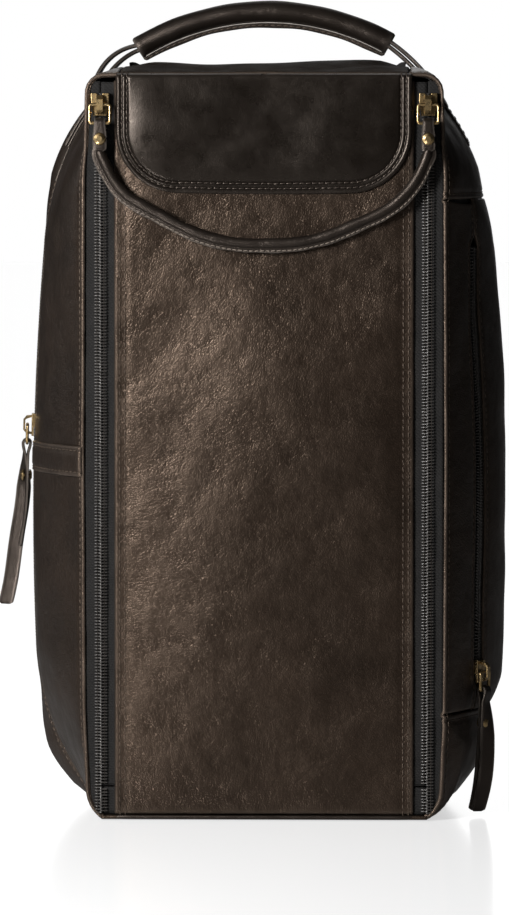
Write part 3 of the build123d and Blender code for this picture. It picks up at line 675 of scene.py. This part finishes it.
for depth in FLAP_ROWS:
    lift = lift - 0.5 * bell(edge, depth, 0.7)
grid = np.stack([rings[..., 0], FRONT_Y - lift, rings[..., 1]], -1)
# The flap's turned edge is lightened as rubbed wear, and the thin light line along its top fold is a painted
# highlight.
flap = surface("front_flap", "door", flap_hide, grid, outward=(0, -1, 0),
               thick=1.7, wear_and_highlight=np.maximum(0.6 * np.exp(-edge / 1.0), 0.8 * np.exp(-below / 0.8)))
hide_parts("front_yoke")
rows = [grid[int(np.argmin(np.abs(depths - depth))), 2:-2] for depth in FLAP_ROWS]
dark_thread = leather("dark_thread", (0.020, 0.0155, 0.0125), 0.34, 0.5, 0.02, gloss=0.6)
sewn = [(row, np.broadcast_to([0, -1.0, 0], row.shape)) for row in rows]
stitches("flap_stitches", "door", sewn, dark_thread, gap=3.0, size=1.2, rise=0.3)


# ---- Zip tapes ---------------------------------------------------------------------------
# Woven polyester tape, 0.6 mm thick, with a herringbone of fine ribs. Each front tape is sewn under
# the panel or the gusset's edge, and each side tape fills the slot beside its row of coils.
def cloth(name, colour, ribs, relief, rough=0.8):
    """Woven cloth: two wave textures across each other give warp and weft, and noise varies the dye."""
    made, add, at = new_finish(name, {"Roughness": rough, "Specular IOR Level": 0.3})
    warp = add("TexWave", {"Vector": at, "Scale": ribs, "Distortion": 1.2, "Detail": 2}, bands_direction="Z")
    weft = add("TexWave", {"Vector": at, "Scale": 1.3 * ribs, "Distortion": 0.8, "Detail": 2},
               bands_direction="DIAGONAL")
    both = add("Math", {0: warp.outputs["Fac"], 1: weft.outputs["Fac"]}, operation="ADD")
    patch = add("TexNoise", {"Vector": at, "Scale": 160, "Detail": 3})
    level = add("MapRange", {0: patch.outputs[0], 1: 0.3, 2: 0.7, 3: 0.7, 4: 1.25})
    shade = add("MapRange", {0: both.outputs[0], 1: 0, 2: 2, 3: 0.65, 4: 1.2})
    total = add("Math", {0: level.outputs[0], 1: shade.outputs[0]}, operation="MULTIPLY")
    dye = add("VectorMath", {0: colour, "Scale": total.outputs[0]}, operation="SCALE")
    weave = add("Bump", {"Height": both.outputs[0], "Strength": 0.7, "Distance": relief * MM})
    return wired(made, dye.outputs[0], weave.outputs[0])


tape_cloth = cloth("tape_cloth", (0.0072, 0.0064, 0.0059), 260, 0.12)
TAPE_Y, TAPE_THICK = -63.05, 0.6
DOOR_TAPE, FRAME_TAPE = (66, 78.6), (78.9, 86.6)  # from the bag's middle outwards


def tape(name, body, side, wide, high, seed, node=None):
    """A straight run of front tape: a flat grid at the tape's depth with a slight wave across its plane,
    kept 1.8 mm inside the bag's outline."""
    across, up = sorted((side * wide[0], side * wide[1])), max(int((high[1] - high[0]) / 1.5), 4)
    x, z = np.meshgrid(np.linspace(*across, 8), np.linspace(*high, up))
    line = cross_line(-63.0)[20:-30]
    room = np.interp(z, line[:, 1], line[:, 0]) - 1.8
    x = np.clip(x, -room, room)
    grid = np.stack([x, TAPE_Y + 0.22 * unevenness(x * 3, z * 3, seed), z], -1)
    made = surface(name, body, tape_cloth, grid, outward=(0, -1, 0), thick=TAPE_THICK)
    if node:
        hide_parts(node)


for word, side in (("left", -1), ("right", 1)):
    tape(f"tape_{word}_door", "door", side, DOOR_TAPE, (16.4, 356.8), 31, f"front_tape_{word}_door")
    tape(f"tape_{word}_frame", "root", side, FRAME_TAPE, (3.2, 357.2), 32, f"front_tape_{word}_frame")
    tape(f"tape_{word}_foot", "root", side, DOOR_TAPE, (2.5, 15.7), 33)


# ---- Zip coils ---------------------------------------------------------------------------
# Moulded nylon coils: each turn is a short bar with a rounded head that locks between two heads of
# the row opposite, at a pitch of 1.5 mm, sewn to the tape by a run of fine thread.
def satin(name, colour, rough, scale, relief, metal=0.0, vary=0.35, tarnish=None):
    """Moulded or cast finish: slow noise varies its colour and roughness, and fine noise gives the bump."""
    made, add, at = new_finish(name, {"Metallic": metal})
    slow = add("TexNoise", {"Vector": at, "Scale": scale, "Detail": 4, "Roughness": 0.6})
    fast = add("TexNoise", {"Vector": at, "Scale": 14 * scale, "Detail": 2})
    part = add("MapRange", {0: slow.outputs[0], 1: 0.35, 2: 0.65})
    dark = tarnish or tuple(c * (1 - vary) for c in colour)
    mix = add("Mix", {0: part.outputs[0], 6: dark + (1,), 7: colour + (1,)}, data_type="RGBA")
    dull = add("MapRange", {0: slow.outputs[0], 1: 0.3, 2: 0.7, 3: rough + 0.12, 4: rough - 0.05})
    bump = add("Bump", {"Height": fast.outputs[0], "Strength": 0.5, "Distance": relief * MM})
    return wired(made, mix.outputs[2], bump.outputs[0], dull.outputs[0])


coil_nylon = satin("coil_nylon", (0.075, 0.069, 0.064), 0.28, 300, 0.02)
COIL = bead([-0.55, -0.3, 0.2, 0.7, 2.6, 3.1], [0.45, 1.15, 1.25, 0.85, 0.85, 0.5])
PITCH, COIL_STEPS = 1.5, 400
ZIP_X, COIL_Y = 79.0, -63.9
THREAD_OUT, THREAD_UP = 1.75, 1.15  # where the fine thread lies on the coils, outwards and up
COIL_SEWING = {"gap": PITCH, "size": 0.52, "slot": "textile"}


def unit_of(field):
    """The field's vectors at a length of one."""
    return field / np.linalg.norm(field, axis=1)[:, None]


def coil_row(name, body, path, outer, up, late, node=None):
    """One row of coils along a path: a bead at each pitch, shifted by half a pitch in the later row, lying
    from the zip's middle outwards. Its heads stand about 1.4 mm above and below the path."""
    length = distance_along(path)
    want = np.arange(0.8 + late * PITCH / 2, length[-1] - 0.6, PITCH)
    here, lift = sampled(path, length, want), unit_of(sampled(up, length, want))
    beside = sampled(outer, length, want)
    beside = unit_of(beside - (beside * lift).sum(1)[:, None] * lift)
    axes = np.stack([beside, 0.43 * np.cross(beside, lift), 1.15 * lift], 1)
    made = repeated(name, body, coil_nylon, *COIL, here, axes, "zip_coil")
    if node:
        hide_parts(node)


coil_thread = leather("coil_thread", (0.022, 0.0195, 0.0175), 0.5, 0.5, 0.02)
for word, side in (("left", -1), ("right", 1)):
    seams = {"door": [], "root": []}
    for body, way, label, low, high in (
            ("door", -1, "door", 16.4, 352.5), ("root", 1, "frame", 2.6, 349.0),
            ("root", -1, "foot", 2.6, 15.6)):
        z = np.linspace(low, high, COIL_STEPS)
        path = np.stack([np.full(COIL_STEPS, side * ZIP_X), np.full(COIL_STEPS, COIL_Y), z], 1)
        outer, up = np.tile([side * way, 0, 0.0], (COIL_STEPS, 1)), np.tile([0, -1.0, 0], (COIL_STEPS, 1))
        node = None if label == "foot" else f"front_row_{word}_{label}"
        coil_row(f"coil_{word}_{label}", body, path, outer, up, way < 0, node)
        seams[body].append((path + THREAD_OUT * outer + THREAD_UP * up, up))
    for body in seams:
        stitches(f"coil_thread_{word}_{body}", body, seams[body], coil_thread, **COIL_SEWING)


# ---- Pull strap --------------------------------------------------------------------------
# A soft leather roll with its seam allowance stitched together below it as a flat flange. Each end is
# folded round a brass ring and closed with a domed rivet, and the ring hangs in its slider's crown.
trim_hide = leather("trim_hide", (0.0105, 0.008, 0.0064), 0.35, 0.8, 0.06, shade=0.3,
                    worn_and_lit=(0.15, 0.128, 0.11), soft_by=0.6)
STRAP_Y, EYE_Z, EYE_RADIUS = -69.7, 337.05, 1.75
STRAP_LINE = [(-79, 330, 0), (-79, 323, 9), (-70, 304, 30), (-24, 279, 80), (23, 279.5, 80), (70, 300, 45),
              (79, 323, 9), (79, 330, 0)]
STRAP_ARC = 27  # points round the roll


def carried(path, across, up, section):
    """A section carried along a path: each point of the path, plus the section's first number times
    across, plus its second times up."""
    section = np.broadcast_to(section, (len(path),) + section.shape[-2:])
    return path[:, None] + section[..., :1] * across[:, None] + section[..., 1:] * up[:, None]


def ahead_of(path):
    """Unit direction of a path at each of its points."""
    return unit_of(np.gradient(path, axis=0))


def evened(path, gap):
    """The same path with its points a fixed gap apart."""
    length = distance_along(path)
    return sampled(path, length, np.linspace(0, length[-1], max(int(length[-1] / gap), 3)))


def from_ends(path):
    """Distance of each point of a path from its nearer end."""
    far = distance_along(path)
    return np.minimum(far, far[-1] - far)


def rolled(radius, first, count, flange):
    """Section of a leather roll: a round of that radius from the first angle in degrees, open below, and
    the flange that closes it, whose left side is mirrored for the right."""
    turn = np.radians(np.linspace(first, 180 - first, count))
    left = np.array(flange)
    return np.concatenate([radius * np.stack([np.cos(turn), np.sin(turn)], 1), left, left[::-1] * [-1, 1]])


def band(name, body, path, across, up, width, thick, node=None, blunt=1.6, worn_and_lit=1.0):
    """A flat strip of trim leather with rounded edges along a path. Its width and thickness shrink at both
    ends by a quarter round over the blunt length, and its long edges carry the wear."""
    end = np.clip(1 - from_ends(path) / blunt, 0, 1)
    round_off = blunt * (1 - np.sqrt(1 - end**2))
    flat = rounded_run([(-0.5, -0.5, 0), (0.5, -0.5, 0), (0.5, 0.5, 0), (-0.5, 0.5, 0)], 2, 5, closed=True)
    wide = np.broadcast_to(np.asarray(width, float), end.shape)[:, None] - 2 * round_off[:, None]
    bulge = 1 - 0.55 * np.clip((np.abs(flat[:, 0]) * wide - (wide / 2 - 0.55)) / 0.55, 0, 1) ** 2
    deep = (thick - 0.5 * np.minimum(round_off, thick))[:, None]
    section = np.stack([flat[:, 0] * wide, flat[:, 1] * deep * bulge], -1)
    wear_and_highlight = worn_and_lit * np.broadcast_to(np.clip((np.abs(flat[:, 0]) - 0.44) / 0.05, 0, 1), section.shape[:2])
    made = surface(name, body, trim_hide, carried(path, across, up, section), around=True,
                   capped="both", wear_and_highlight=wear_and_highlight)
    if node:
        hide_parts(node)


line = evened(rounded_run(STRAP_LINE, 20, 20)[19:-19], 0.9)
path = np.stack([line[:, 0], STRAP_Y + 0.25 * np.sin(line[:, 0] / 17), line[:, 1]], 1)
forward = ahead_of(path)
up = np.stack([-forward[:, 2], 0 * forward[:, 0], forward[:, 0]], 1)
beside = np.cross(up, forward)
section = rolled(2.5, -68, STRAP_ARC, [(-0.92, -2.75), (-0.88, -3.6), (-0.8, -4.2), (-0.45, -4.5)])
far = distance_along(path)
plump = 1 + 0.035 * np.sin(far / 5.3) + 0.03 * np.sin(far / 2.1 + 1)
slender = 0.34 + 0.66 * smooth(np.clip(from_ends(path) / 9, 0, 1))
section = section[None] * (slender * plump)[:, None, None]
# The flange's lower edge is lightened strongly: a painted highlight standing for the bright line along the
# strap.
wear_and_highlight = np.zeros(section.shape[:2])
wear_and_highlight[:, STRAP_ARC + 2:STRAP_ARC + 6] = 0.7
roll = carried(path, beside, up, section)
strap = surface("pull_strap_roll", "pull_strap", trim_hide, roll, around=True, capped="both",
                wear_and_highlight=wear_and_highlight)
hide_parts("pull_strap")
inner = from_ends(path) > 11
sewn = [((path + s * 0.84 * beside - 3.55 * up)[inner], (s * beside)[inner]) for s in (-1, 1)]
pale_thread = leather("pale_thread", (0.21, 0.175, 0.145), 0.5, 0.5, 0.02)
stitches("pull_strap_stitches", "pull_strap", sewn, pale_thread, gap=2.6, size=0.85, rise=0.12)

turn = np.linspace(0, np.pi, 15)
tail = np.linspace(-13.5, 0, 14)[:-1]
out = np.concatenate([np.full(13, EYE_RADIUS), EYE_RADIUS * np.cos(turn), np.full(13, -EYE_RADIUS)])
rise = np.concatenate([tail, EYE_RADIUS * np.sin(turn), tail[::-1]])
for word, side in (("left", -1), ("right", 1)):
    path = np.stack([np.full(len(out), side * ZIP_X), STRAP_Y + out, EYE_Z + rise], 1)
    beside = np.tile([1.0, 0, 0], (len(out), 1))
    width = 6.6 - 1.4 * np.clip(1 + rise / 6, 0, 1)
    band(f"strap_eye_{word}", "pull_strap", path, beside, np.cross(ahead_of(path), beside), width, 1.5)


# ---- Side band, shoulder welt and base piping ---------------------------------------------------
# A strip of the body leather crosses the left gusset from the front edge to the side zip, sewn along both
# edges. A thin welt runs from the handle's left tab down to the side zip, and piping goes round the base.
BAND_ROWS = [("low", 2.3), ("high", 2.3)]
grid = skin_grid(-1, -64.6 + 57 * spaced(57), ("z", 166), ("z", 181), spaced(15, 1.5, 0.4, 4))
grid = grid + 1.5 * outward_of(grid, np.array([-1, 0, 0.0]))
side_band, cut = cut_piece("side_band_hide", "root", body_hide, grid, (-1, 0, 0), EDGES, BAND_ROWS, 0.5, 41,
                           thick=1.5, radius=1.3)
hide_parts("side_band_left")
stitches("side_band_stitches", "root", [row_at(cut, *row) for row in BAND_ROWS])

WELT_Y, WELT_STEPS = 1.0, 60
run = np.linspace(*(place_on(cross_line(WELT_Y), ("z", height)) for height in (307.5, 329)), WELT_STEPS)
path = on_skin(-1, run, np.full(WELT_STEPS, WELT_Y))
beside = np.tile([0, 1.0, 0], (WELT_STEPS, 1))
up = np.cross(ahead_of(path), beside)
up *= np.sign(-up[:, :1])
band("shoulder_welt", "root", path + 0.15 * up, beside, up, 4.4, 1.0, "seam_welt_left")

PIPING_RADIUS, PIPING_Z = 1.1, 1.15
y = np.linspace(-63.6, 63.2, 80)
x = np.array([half_width(v, 0.9) for v in y]) - 0.6
sides = np.stack([x, y], 1)
rear = np.stack([np.linspace(x[-1], -x[-1], 50)[1:-1], np.full(48, 64.3)], 1)
front = np.stack([np.linspace(-x[0], x[0], 50)[1:-1], np.full(48, -64.7)], 1)
edge = np.concatenate([sides, rear, (sides * [-1, 1])[::-1], front])
looped = np.concatenate([edge[-4:], edge, edge[:4]])
edge = np.stack([np.convolve(looped[:, k], np.ones(9) / 9, "valid") for k in (0, 1)], 1)
path = np.column_stack([edge, np.full(len(edge), PIPING_Z)])
path = np.vstack([path, path[:2]])
up = np.tile([0, 0, 1.0], (len(path), 1))
turn = np.arange(10) / 10 * 2 * np.pi
ring = PIPING_RADIUS * np.stack([np.cos(turn), np.sin(turn)], 1)
piping = carried(path, np.cross(ahead_of(path), up), up, ring)
surface("base_piping", "root", trim_hide, piping, around=True, capped="both")


# ---- Side zips and their pulls ---------------------------------------------------------------
# Each side pocket closes with a coil zip in a slot between two turned edges. Its brass slider carries a
# ring, and a folded leather strip, riveted below the ring, hangs from it as a pull.
SIDES = {"left": -1, "right": 1}
ARC_RADIUS = {"left": 1179.09, "right": 2408.01}  # of the arc that the slider runs on, about its joint
ZIP_TURN = {"left": -3.571, "right": -24.999}  # how the slider faces, in degrees from straight outwards
RING_HEIGHT = {"left": 188.0, "right": 70.0}
for word, limits in COIL_ENDS.items():
    side, y = SIDES[word], ZIP_Y[word]
    line = cross_line(y)
    run = np.linspace(*(place_on(line, ("z", height)) for height in limits), COIL_STEPS)
    grid = on_skin(side, run[:, None], y + np.linspace(-SLOT - 1.5, SLOT + 1.5, 9)[None])
    normal = outward_of(grid, np.array([side, 0, 0.1]))
    ribs = surface(f"side_tape_{word}_cloth", "root", tape_cloth, grid - 1.7 * normal,
                   outward=normal, thick=TAPE_THICK)
    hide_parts(f"side_tape_{word}")
    middle, up = grid[:, 4] - 1.25 * normal[:, 4], normal[:, 4]
    beside = unit_of(np.gradient(grid, axis=1)[:, 4])
    coil_row(f"side_coil_{word}_front", "root", middle, -beside, up, 0, f"side_rows_{word}")
    coil_row(f"side_coil_{word}_rear", "root", middle, beside, up, 1)
    rows = [(middle + s * THREAD_OUT * beside + THREAD_UP * up, up) for s in (-1, 1)]
    stitches(f"side_coil_thread_{word}", "root", rows, coil_thread, **COIL_SEWING)


def at_ring(word, u, v, w):
    """A point given from the middle of a side ring's lower bar: u outwards, v across the zip, w up, turned
    with the slider's place on its arc and mirrored for the left side."""
    side, radius, tilt = SIDES[word], ARC_RADIUS[word], np.radians(ZIP_TURN[word])
    joint = next(joint for joint in frame["joints"] if joint["name"] == f"pocket_zip_{word}")
    cx, y, cz = np.array(joint["pos_m"]) / MM * [side, 1, 1]
    lift = np.arcsin((RING_HEIGHT[word] - cz) / radius)
    u, w = u + 3.6, w - 9.0
    out, y = radius + u * np.cos(tilt) - v * np.sin(tilt), y + u * np.sin(tilt) + v * np.cos(tilt)
    x, z = cx + out * np.cos(lift) - w * np.sin(lift), cz + out * np.sin(lift) + w * np.cos(lift)
    return np.stack([side * x, y, z], -1)


def pull(word, tails):
    """A strip folded round the ring. From the loop each tail closes to the middle within 6 mm, then bends
    and turns over its length, and may bulge halfway down; tails are (length, side, bend, turn, bulge)."""
    parts = []
    for k, (long, which, bend, turn, bulge) in enumerate(tails):
        w = np.linspace(0, -long, int(long / 0.9))
        share = np.clip((-w - 6) / (long - 6), 0, 1)
        close = 0.5 * (1 + np.cos(np.pi * np.clip(-w / 6, 0, 1)))
        sway = bend * share**1.7 + bulge * np.sin(np.pi * share) + 0.3 * np.sin(-w / 7 + k)
        u = which * (0.78 + 0.92 * close) + sway
        part = np.stack([u, w, np.radians(turn) * np.clip((-w - 4) / 18, 0, 1)], 1)
        parts.append(part if k else part[::-1])
    loop = np.linspace(np.pi, 0, 15)[1:-1]
    arc = 1.7 * np.stack([np.cos(loop) * tails[1][1], np.sin(loop), 0 * loop], 1)
    u, w, turn = np.concatenate([parts[0], arc, parts[1]]).T
    path = at_ring(word, u, 0 * u, w)
    beside = at_ring(word, u + np.sin(turn), np.cos(turn), w) - path
    up = unit_of(np.cross(ahead_of(path), beside))
    width = 7.2 + 0.5 * np.clip(-w / 30, 0, 1)
    band(f"side_pull_{word}_strip", f"pocket_pull_{word}", path, beside, up, width, 1.45, f"side_pull_{word}")


pull("right", [(59, -1, -2.0, 40, 2.4), (59.5, 1, -2.0, 40, 2.8)])
pull("left", [(51, -1, 3.2, 8, 0), (80, 1, 8.0, 66, 0)])


# ---- Handle ------------------------------------------------------------------------------
# A cord core wrapped in leather, its edges stitched together below as a flange, with a pale bead on each side
# where the flange meets the roll as a painted highlight.
# Two-ply leather straps run from the grip's ends to the shoulders, where they are sewn down.
HANDLE_Y, GRIP_HALF, GRIP_SAG, GRIP_TOP = 3.0, 60.0, 15.8, 391.2
ARCH_R = (GRIP_HALF**2 + GRIP_SAG**2) / (2 * GRIP_SAG)
GRIP_STEPS, GRIP_ARC = 150, 41
STRAP_STEPS, TAB_STEPS, TAB_WIDTH = 60, 50, 21.0
KNOTS = {"left": [(63.0, 373.6), (77.6, 364.8)], "right": [(59.0, 375.8), (73.7, 363.0)]}
FOOT_X = {"left": 85.6, "right": 85.0}
GAPE = {"left": 1.2, "right": 0.1}  # how far a strap's two plies part halfway along


def upright(path, across):
    """Directions beside and above a path: the one across, and the upward one square to it and to the path."""
    beside = np.tile(across, (len(path), 1))
    up = np.cross(ahead_of(path), beside)
    return beside, up * np.sign(up[:, 2:])


angle = np.linspace(-np.arcsin(64.0 / ARCH_R), np.arcsin(60.3 / ARCH_R), GRIP_STEPS)
path = np.stack([ARCH_R * np.sin(angle), HANDLE_Y + 0.5 * np.sin(angle * 5),
                 GRIP_TOP - ARCH_R + ARCH_R * np.cos(angle)], 1)
beside, up = upright(path, [0, -1.0, 0])
section = rolled(5.25, -76, GRIP_ARC, [(-1.2, -5.4), (-1.15, -6.6), (-1.1, -7.4), (-0.8, -7.9)])
section = np.repeat(section[None], GRIP_STEPS, 0)
far, near = distance_along(path), from_ends(path)
section[:, GRIP_ARC:, 1] += 0.9 * np.exp(-near / 7)[:, None]
plump = 1 + 0.02 * np.sin(far / 8.7) + 0.015 * np.sin(far / 3.9 + 2) + 0.05 * np.exp(-near / 2.5)
plump = plump * (1 - 0.14 * np.clip(1 - near / 1.3, 0, 1) ** 2)
# The flange's lower edge is lightened a little, its paler raw edge and partly a painted highlight; the cut
# ends are lightened as rubbed wear.
wear_and_highlight = np.zeros(section.shape[:2])
wear_and_highlight[:, GRIP_ARC + 2:GRIP_ARC + 6] = 0.1
wear_and_highlight = np.maximum(wear_and_highlight, (0.9 * np.exp(-near / 1.0))[:, None])
wrap = carried(path, beside, up, section * plump[:, None, None])
grip = surface("handle_grip_wrap", "handle", trim_hide, wrap, around=True, capped="both",
               wear_and_highlight=wear_and_highlight)
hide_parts("handle_grip")
rows = [((path + s * 1.12 * beside - 6.7 * up)[3:-3], (s * beside)[3:-3]) for s in (-1, 1)]
stitches("handle_stitches", "handle", rows, gap=3.0, size=0.85)
# A pale bead on each side where the flange meets the roll: a painted highlight of the bright line along that
# groove.
painted_highlight_bead = satin("painted_highlight_bead", (0.34, 0.31, 0.28), 0.6, 220, 0.04)
turn = np.arange(8) * np.pi / 4
ring = 0.26 * np.stack([np.cos(turn), np.sin(turn)], 1)
for word, s in (("front", 1), ("rear", -1)):
    edge = carried((path + s * 1.5 * beside - 5.45 * up)[2:-2], beside[2:-2], up[2:-2], ring)
    surface(f"handle_highlight_bead_{word}", "handle", painted_highlight_bead, edge, around=True, capped="both")

shoulder = cross_line(HANDLE_Y)
tab_start = place_on(shoulder, ("x", 85.0))
foot_z = on_skin(1, np.array([tab_start]), np.array([HANDLE_Y]))[0, 2] + 2.6
for word, side in (("left", -1), ("right", 1)):
    share = np.linspace(-0.1, 1.12, STRAP_STEPS)
    knots = np.array(KNOTS[word] + [(FOOT_X[word], foot_z)])
    first, second = 2 * (share - 0.5) * (share - 1), -4 * share * (share - 1)
    line = np.stack([first, second, 2 * share * (share - 0.5)], 1) @ knots
    path = np.stack([side * line[:, 0], np.full(STRAP_STEPS, HANDLE_Y), line[:, 1]], 1)
    beside, up = upright(path, [0, 1.0, 0])
    part = np.clip(share, 0, 1)
    width = 9.5 + 11.5 * smooth(part)
    apart = (1.15 + GAPE[word] * np.sin(np.pi * part))[:, None]
    bend = ("root", "handle", (side * 0.0855, 0.003, 0.3475), (side * 0.061, 0.003, 0.375))
    for label, s, node in (("outer", 1, f"handle_strap_{word}"), ("inner", -1, None)):
        band(f"handle_strap_{word}_{label}", bend, path + s * apart * up, beside, up, width, 2.1, node,
             worn_and_lit=0.35)
    run = np.linspace(tab_start + 1, place_on(shoulder, ("z", 324.5)), TAB_STEPS)
    path = on_skin(side, run, np.full(TAB_STEPS, HANDLE_Y))
    beside, up = upright(path, [0, 1.0, 0])
    for label, rise, node in (("upper", 1.9, f"shoulder_tab_{word}"), ("lower", 0.6, None)):
        band(f"shoulder_tab_{word}_{label}", "root", path + rise * up, beside, up, TAB_WIDTH, 1.4, node)
    top = path + 2.62 * up
    sewn = [((top + s * 8.2 * beside)[3:-3], up[3:-3]) for s in (-1, 1)]
    cross = top[-4] + np.linspace(-8.2, 8.2, 20)[:, None] * beside[-4]
    stitches(f"shoulder_tab_{word}_stitches", "root", sewn + [(cross, np.tile(up[-4], (20, 1)))], size=0.7)


# ---- Lining and pockets ------------------------------------------------------------------
# Black woven lining covers the inside of the gussets, the back, the floor and the door. A flat pouch of the
# same cloth hangs behind each side zip, and a stiff board lies under the floor.
lining_cloth = cloth("lining_cloth", (0.028, 0.026, 0.025), 420, 0.08, rough=0.7)
FLOOR_HALF = 81
POUCHES = {"left": ((-34.5, 36.5), (46.5, 305.5)), "right": ((-59.5, -1.5), (52.5, 291.5))}
rows = RUN[HALVES[:, :, 1].min(0) > 5.2]
right = on_skin(1, rows[::3][:, None], np.linspace(-59.4, 62.3, 46)[None])
grid = np.concatenate([right, (right[::-1] * [-1, 1, 1])[1:]])
normal = outward_of(grid, (grid - [0, 0, 180]) * [1, 0, 1])
x, y, z = np.moveaxis(grid, -1, 0)
ripple = 0.5 * np.sin(y / 5.5 + np.sin(z / 30)) * np.clip((62 - np.abs(y)) / 12, 0, 1)
hollow = 0 * ripple
for word, (low, high) in COIL_ENDS.items():
    side = SIDES[word]
    beside = np.clip((14 - np.abs(y - ZIP_Y[word])) / 7, 0, 1)
    beside = beside * np.clip((z - low + 12) / 8, 0, 1) * np.clip((high + 12 - z) / 8, 0, 1)
    hollow = np.maximum(hollow, beside * (side * x > 60))
depth = 2.5 + 0.4 * (1 + ripple) + 6.0 * hollow
walls = surface("lining_walls", "root", lining_cloth, grid - depth[..., None] * normal,
                outward=-normal, thick=0.3)
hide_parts("lining")

x, y = np.meshgrid(FLOOR_HALF * np.linspace(-1, 1, 40), np.linspace(-59.5, 62, 34))
grid = np.stack([x, y, 4.35 + 0.25 * unevenness(x, y, 8)], -1)
surface("lining_floor", "root", lining_cloth, grid, outward=(0, 0, 1), thick=0.6)

outline = rounded_run(inset(BACK_OUTLINE, 3.2), 12, 12, closed=True)
rings = BACK_MIDDLE + (outline - BACK_MIDDLE)[None] * np.linspace(1, 0.03, 40)[:, None, None]
wavy = 62.0 + 0.35 * unevenness(rings[..., 0] * 2, rings[..., 1], 9)
grid = np.stack([rings[..., 0], wavy, np.maximum(rings[..., 1], 4.0)], -1)
surface("lining_back", "root", lining_cloth, grid, around=True, capped="last", outward=(0, -1, 0),
        thick=0.5)

x, z = np.meshgrid(np.linspace(-65.8, 65.8, 60), np.linspace(17.6, 356.4, 120))
grid = np.stack([x, -62.2 + 0.3 * unevenness(2 * x, z, 10), z], -1)
door_cloth = surface("door_lining_cloth", "door", lining_cloth, grid, outward=(0, 1, 0), thick=0.6)
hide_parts("door_lining")

for word, (ys, heights) in POUCHES.items():
    side = SIDES[word]
    low, high = (("z", height) for height in heights)
    grid = skin_grid(side, np.linspace(*ys, 24), low, high, np.linspace(0, 1, 80))
    normal = outward_of(grid, np.array([side, 0, 0.1]))
    sunk = 4.4 + 2.4 * np.clip((12 - np.abs(grid[..., 1:2] - ZIP_Y[word])) / 6, 0, 1)
    pouch = surface(f"pocket_pouch_{word}", "root", lining_cloth, grid - sunk * normal,
                    outward=normal, thick=1.0)
    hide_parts(f"pocket_bag_{word}")

board_stiff = satin("board_stiff", (0.10, 0.10, 0.10), 0.7, 60, 0.05)
frame["nodes"]["base_board"].material_slots[0].material = board_stiff


# ---- Metal and the grip's core -----------------------------------------------------------------
# Cast sliders, wire rings and domed rivets, all of brass with a dull brown patina that is rubbed
# bright in patches. The handle's core is a pale woven cord inside the grip's leather.
core_cord = cloth("core_cord", (0.42, 0.38, 0.31), 180, 0.2)
brass = satin("antique_brass", (0.56, 0.41, 0.21), 0.27, 420, 0.03, metal=1.0, tarnish=(0.27, 0.18, 0.08))
pairs = [f"{part}_{word}" for part in ("front_slider", "side_slider", "side_ring", "shackle", "side_rivet")
         for word in ("left", "right")]
for part in pairs + ["strap_rivets"]:
    frame["nodes"][part].material_slots[0].material = brass
frame["nodes"]["handle_core"].material_slots[0].material = core_cord
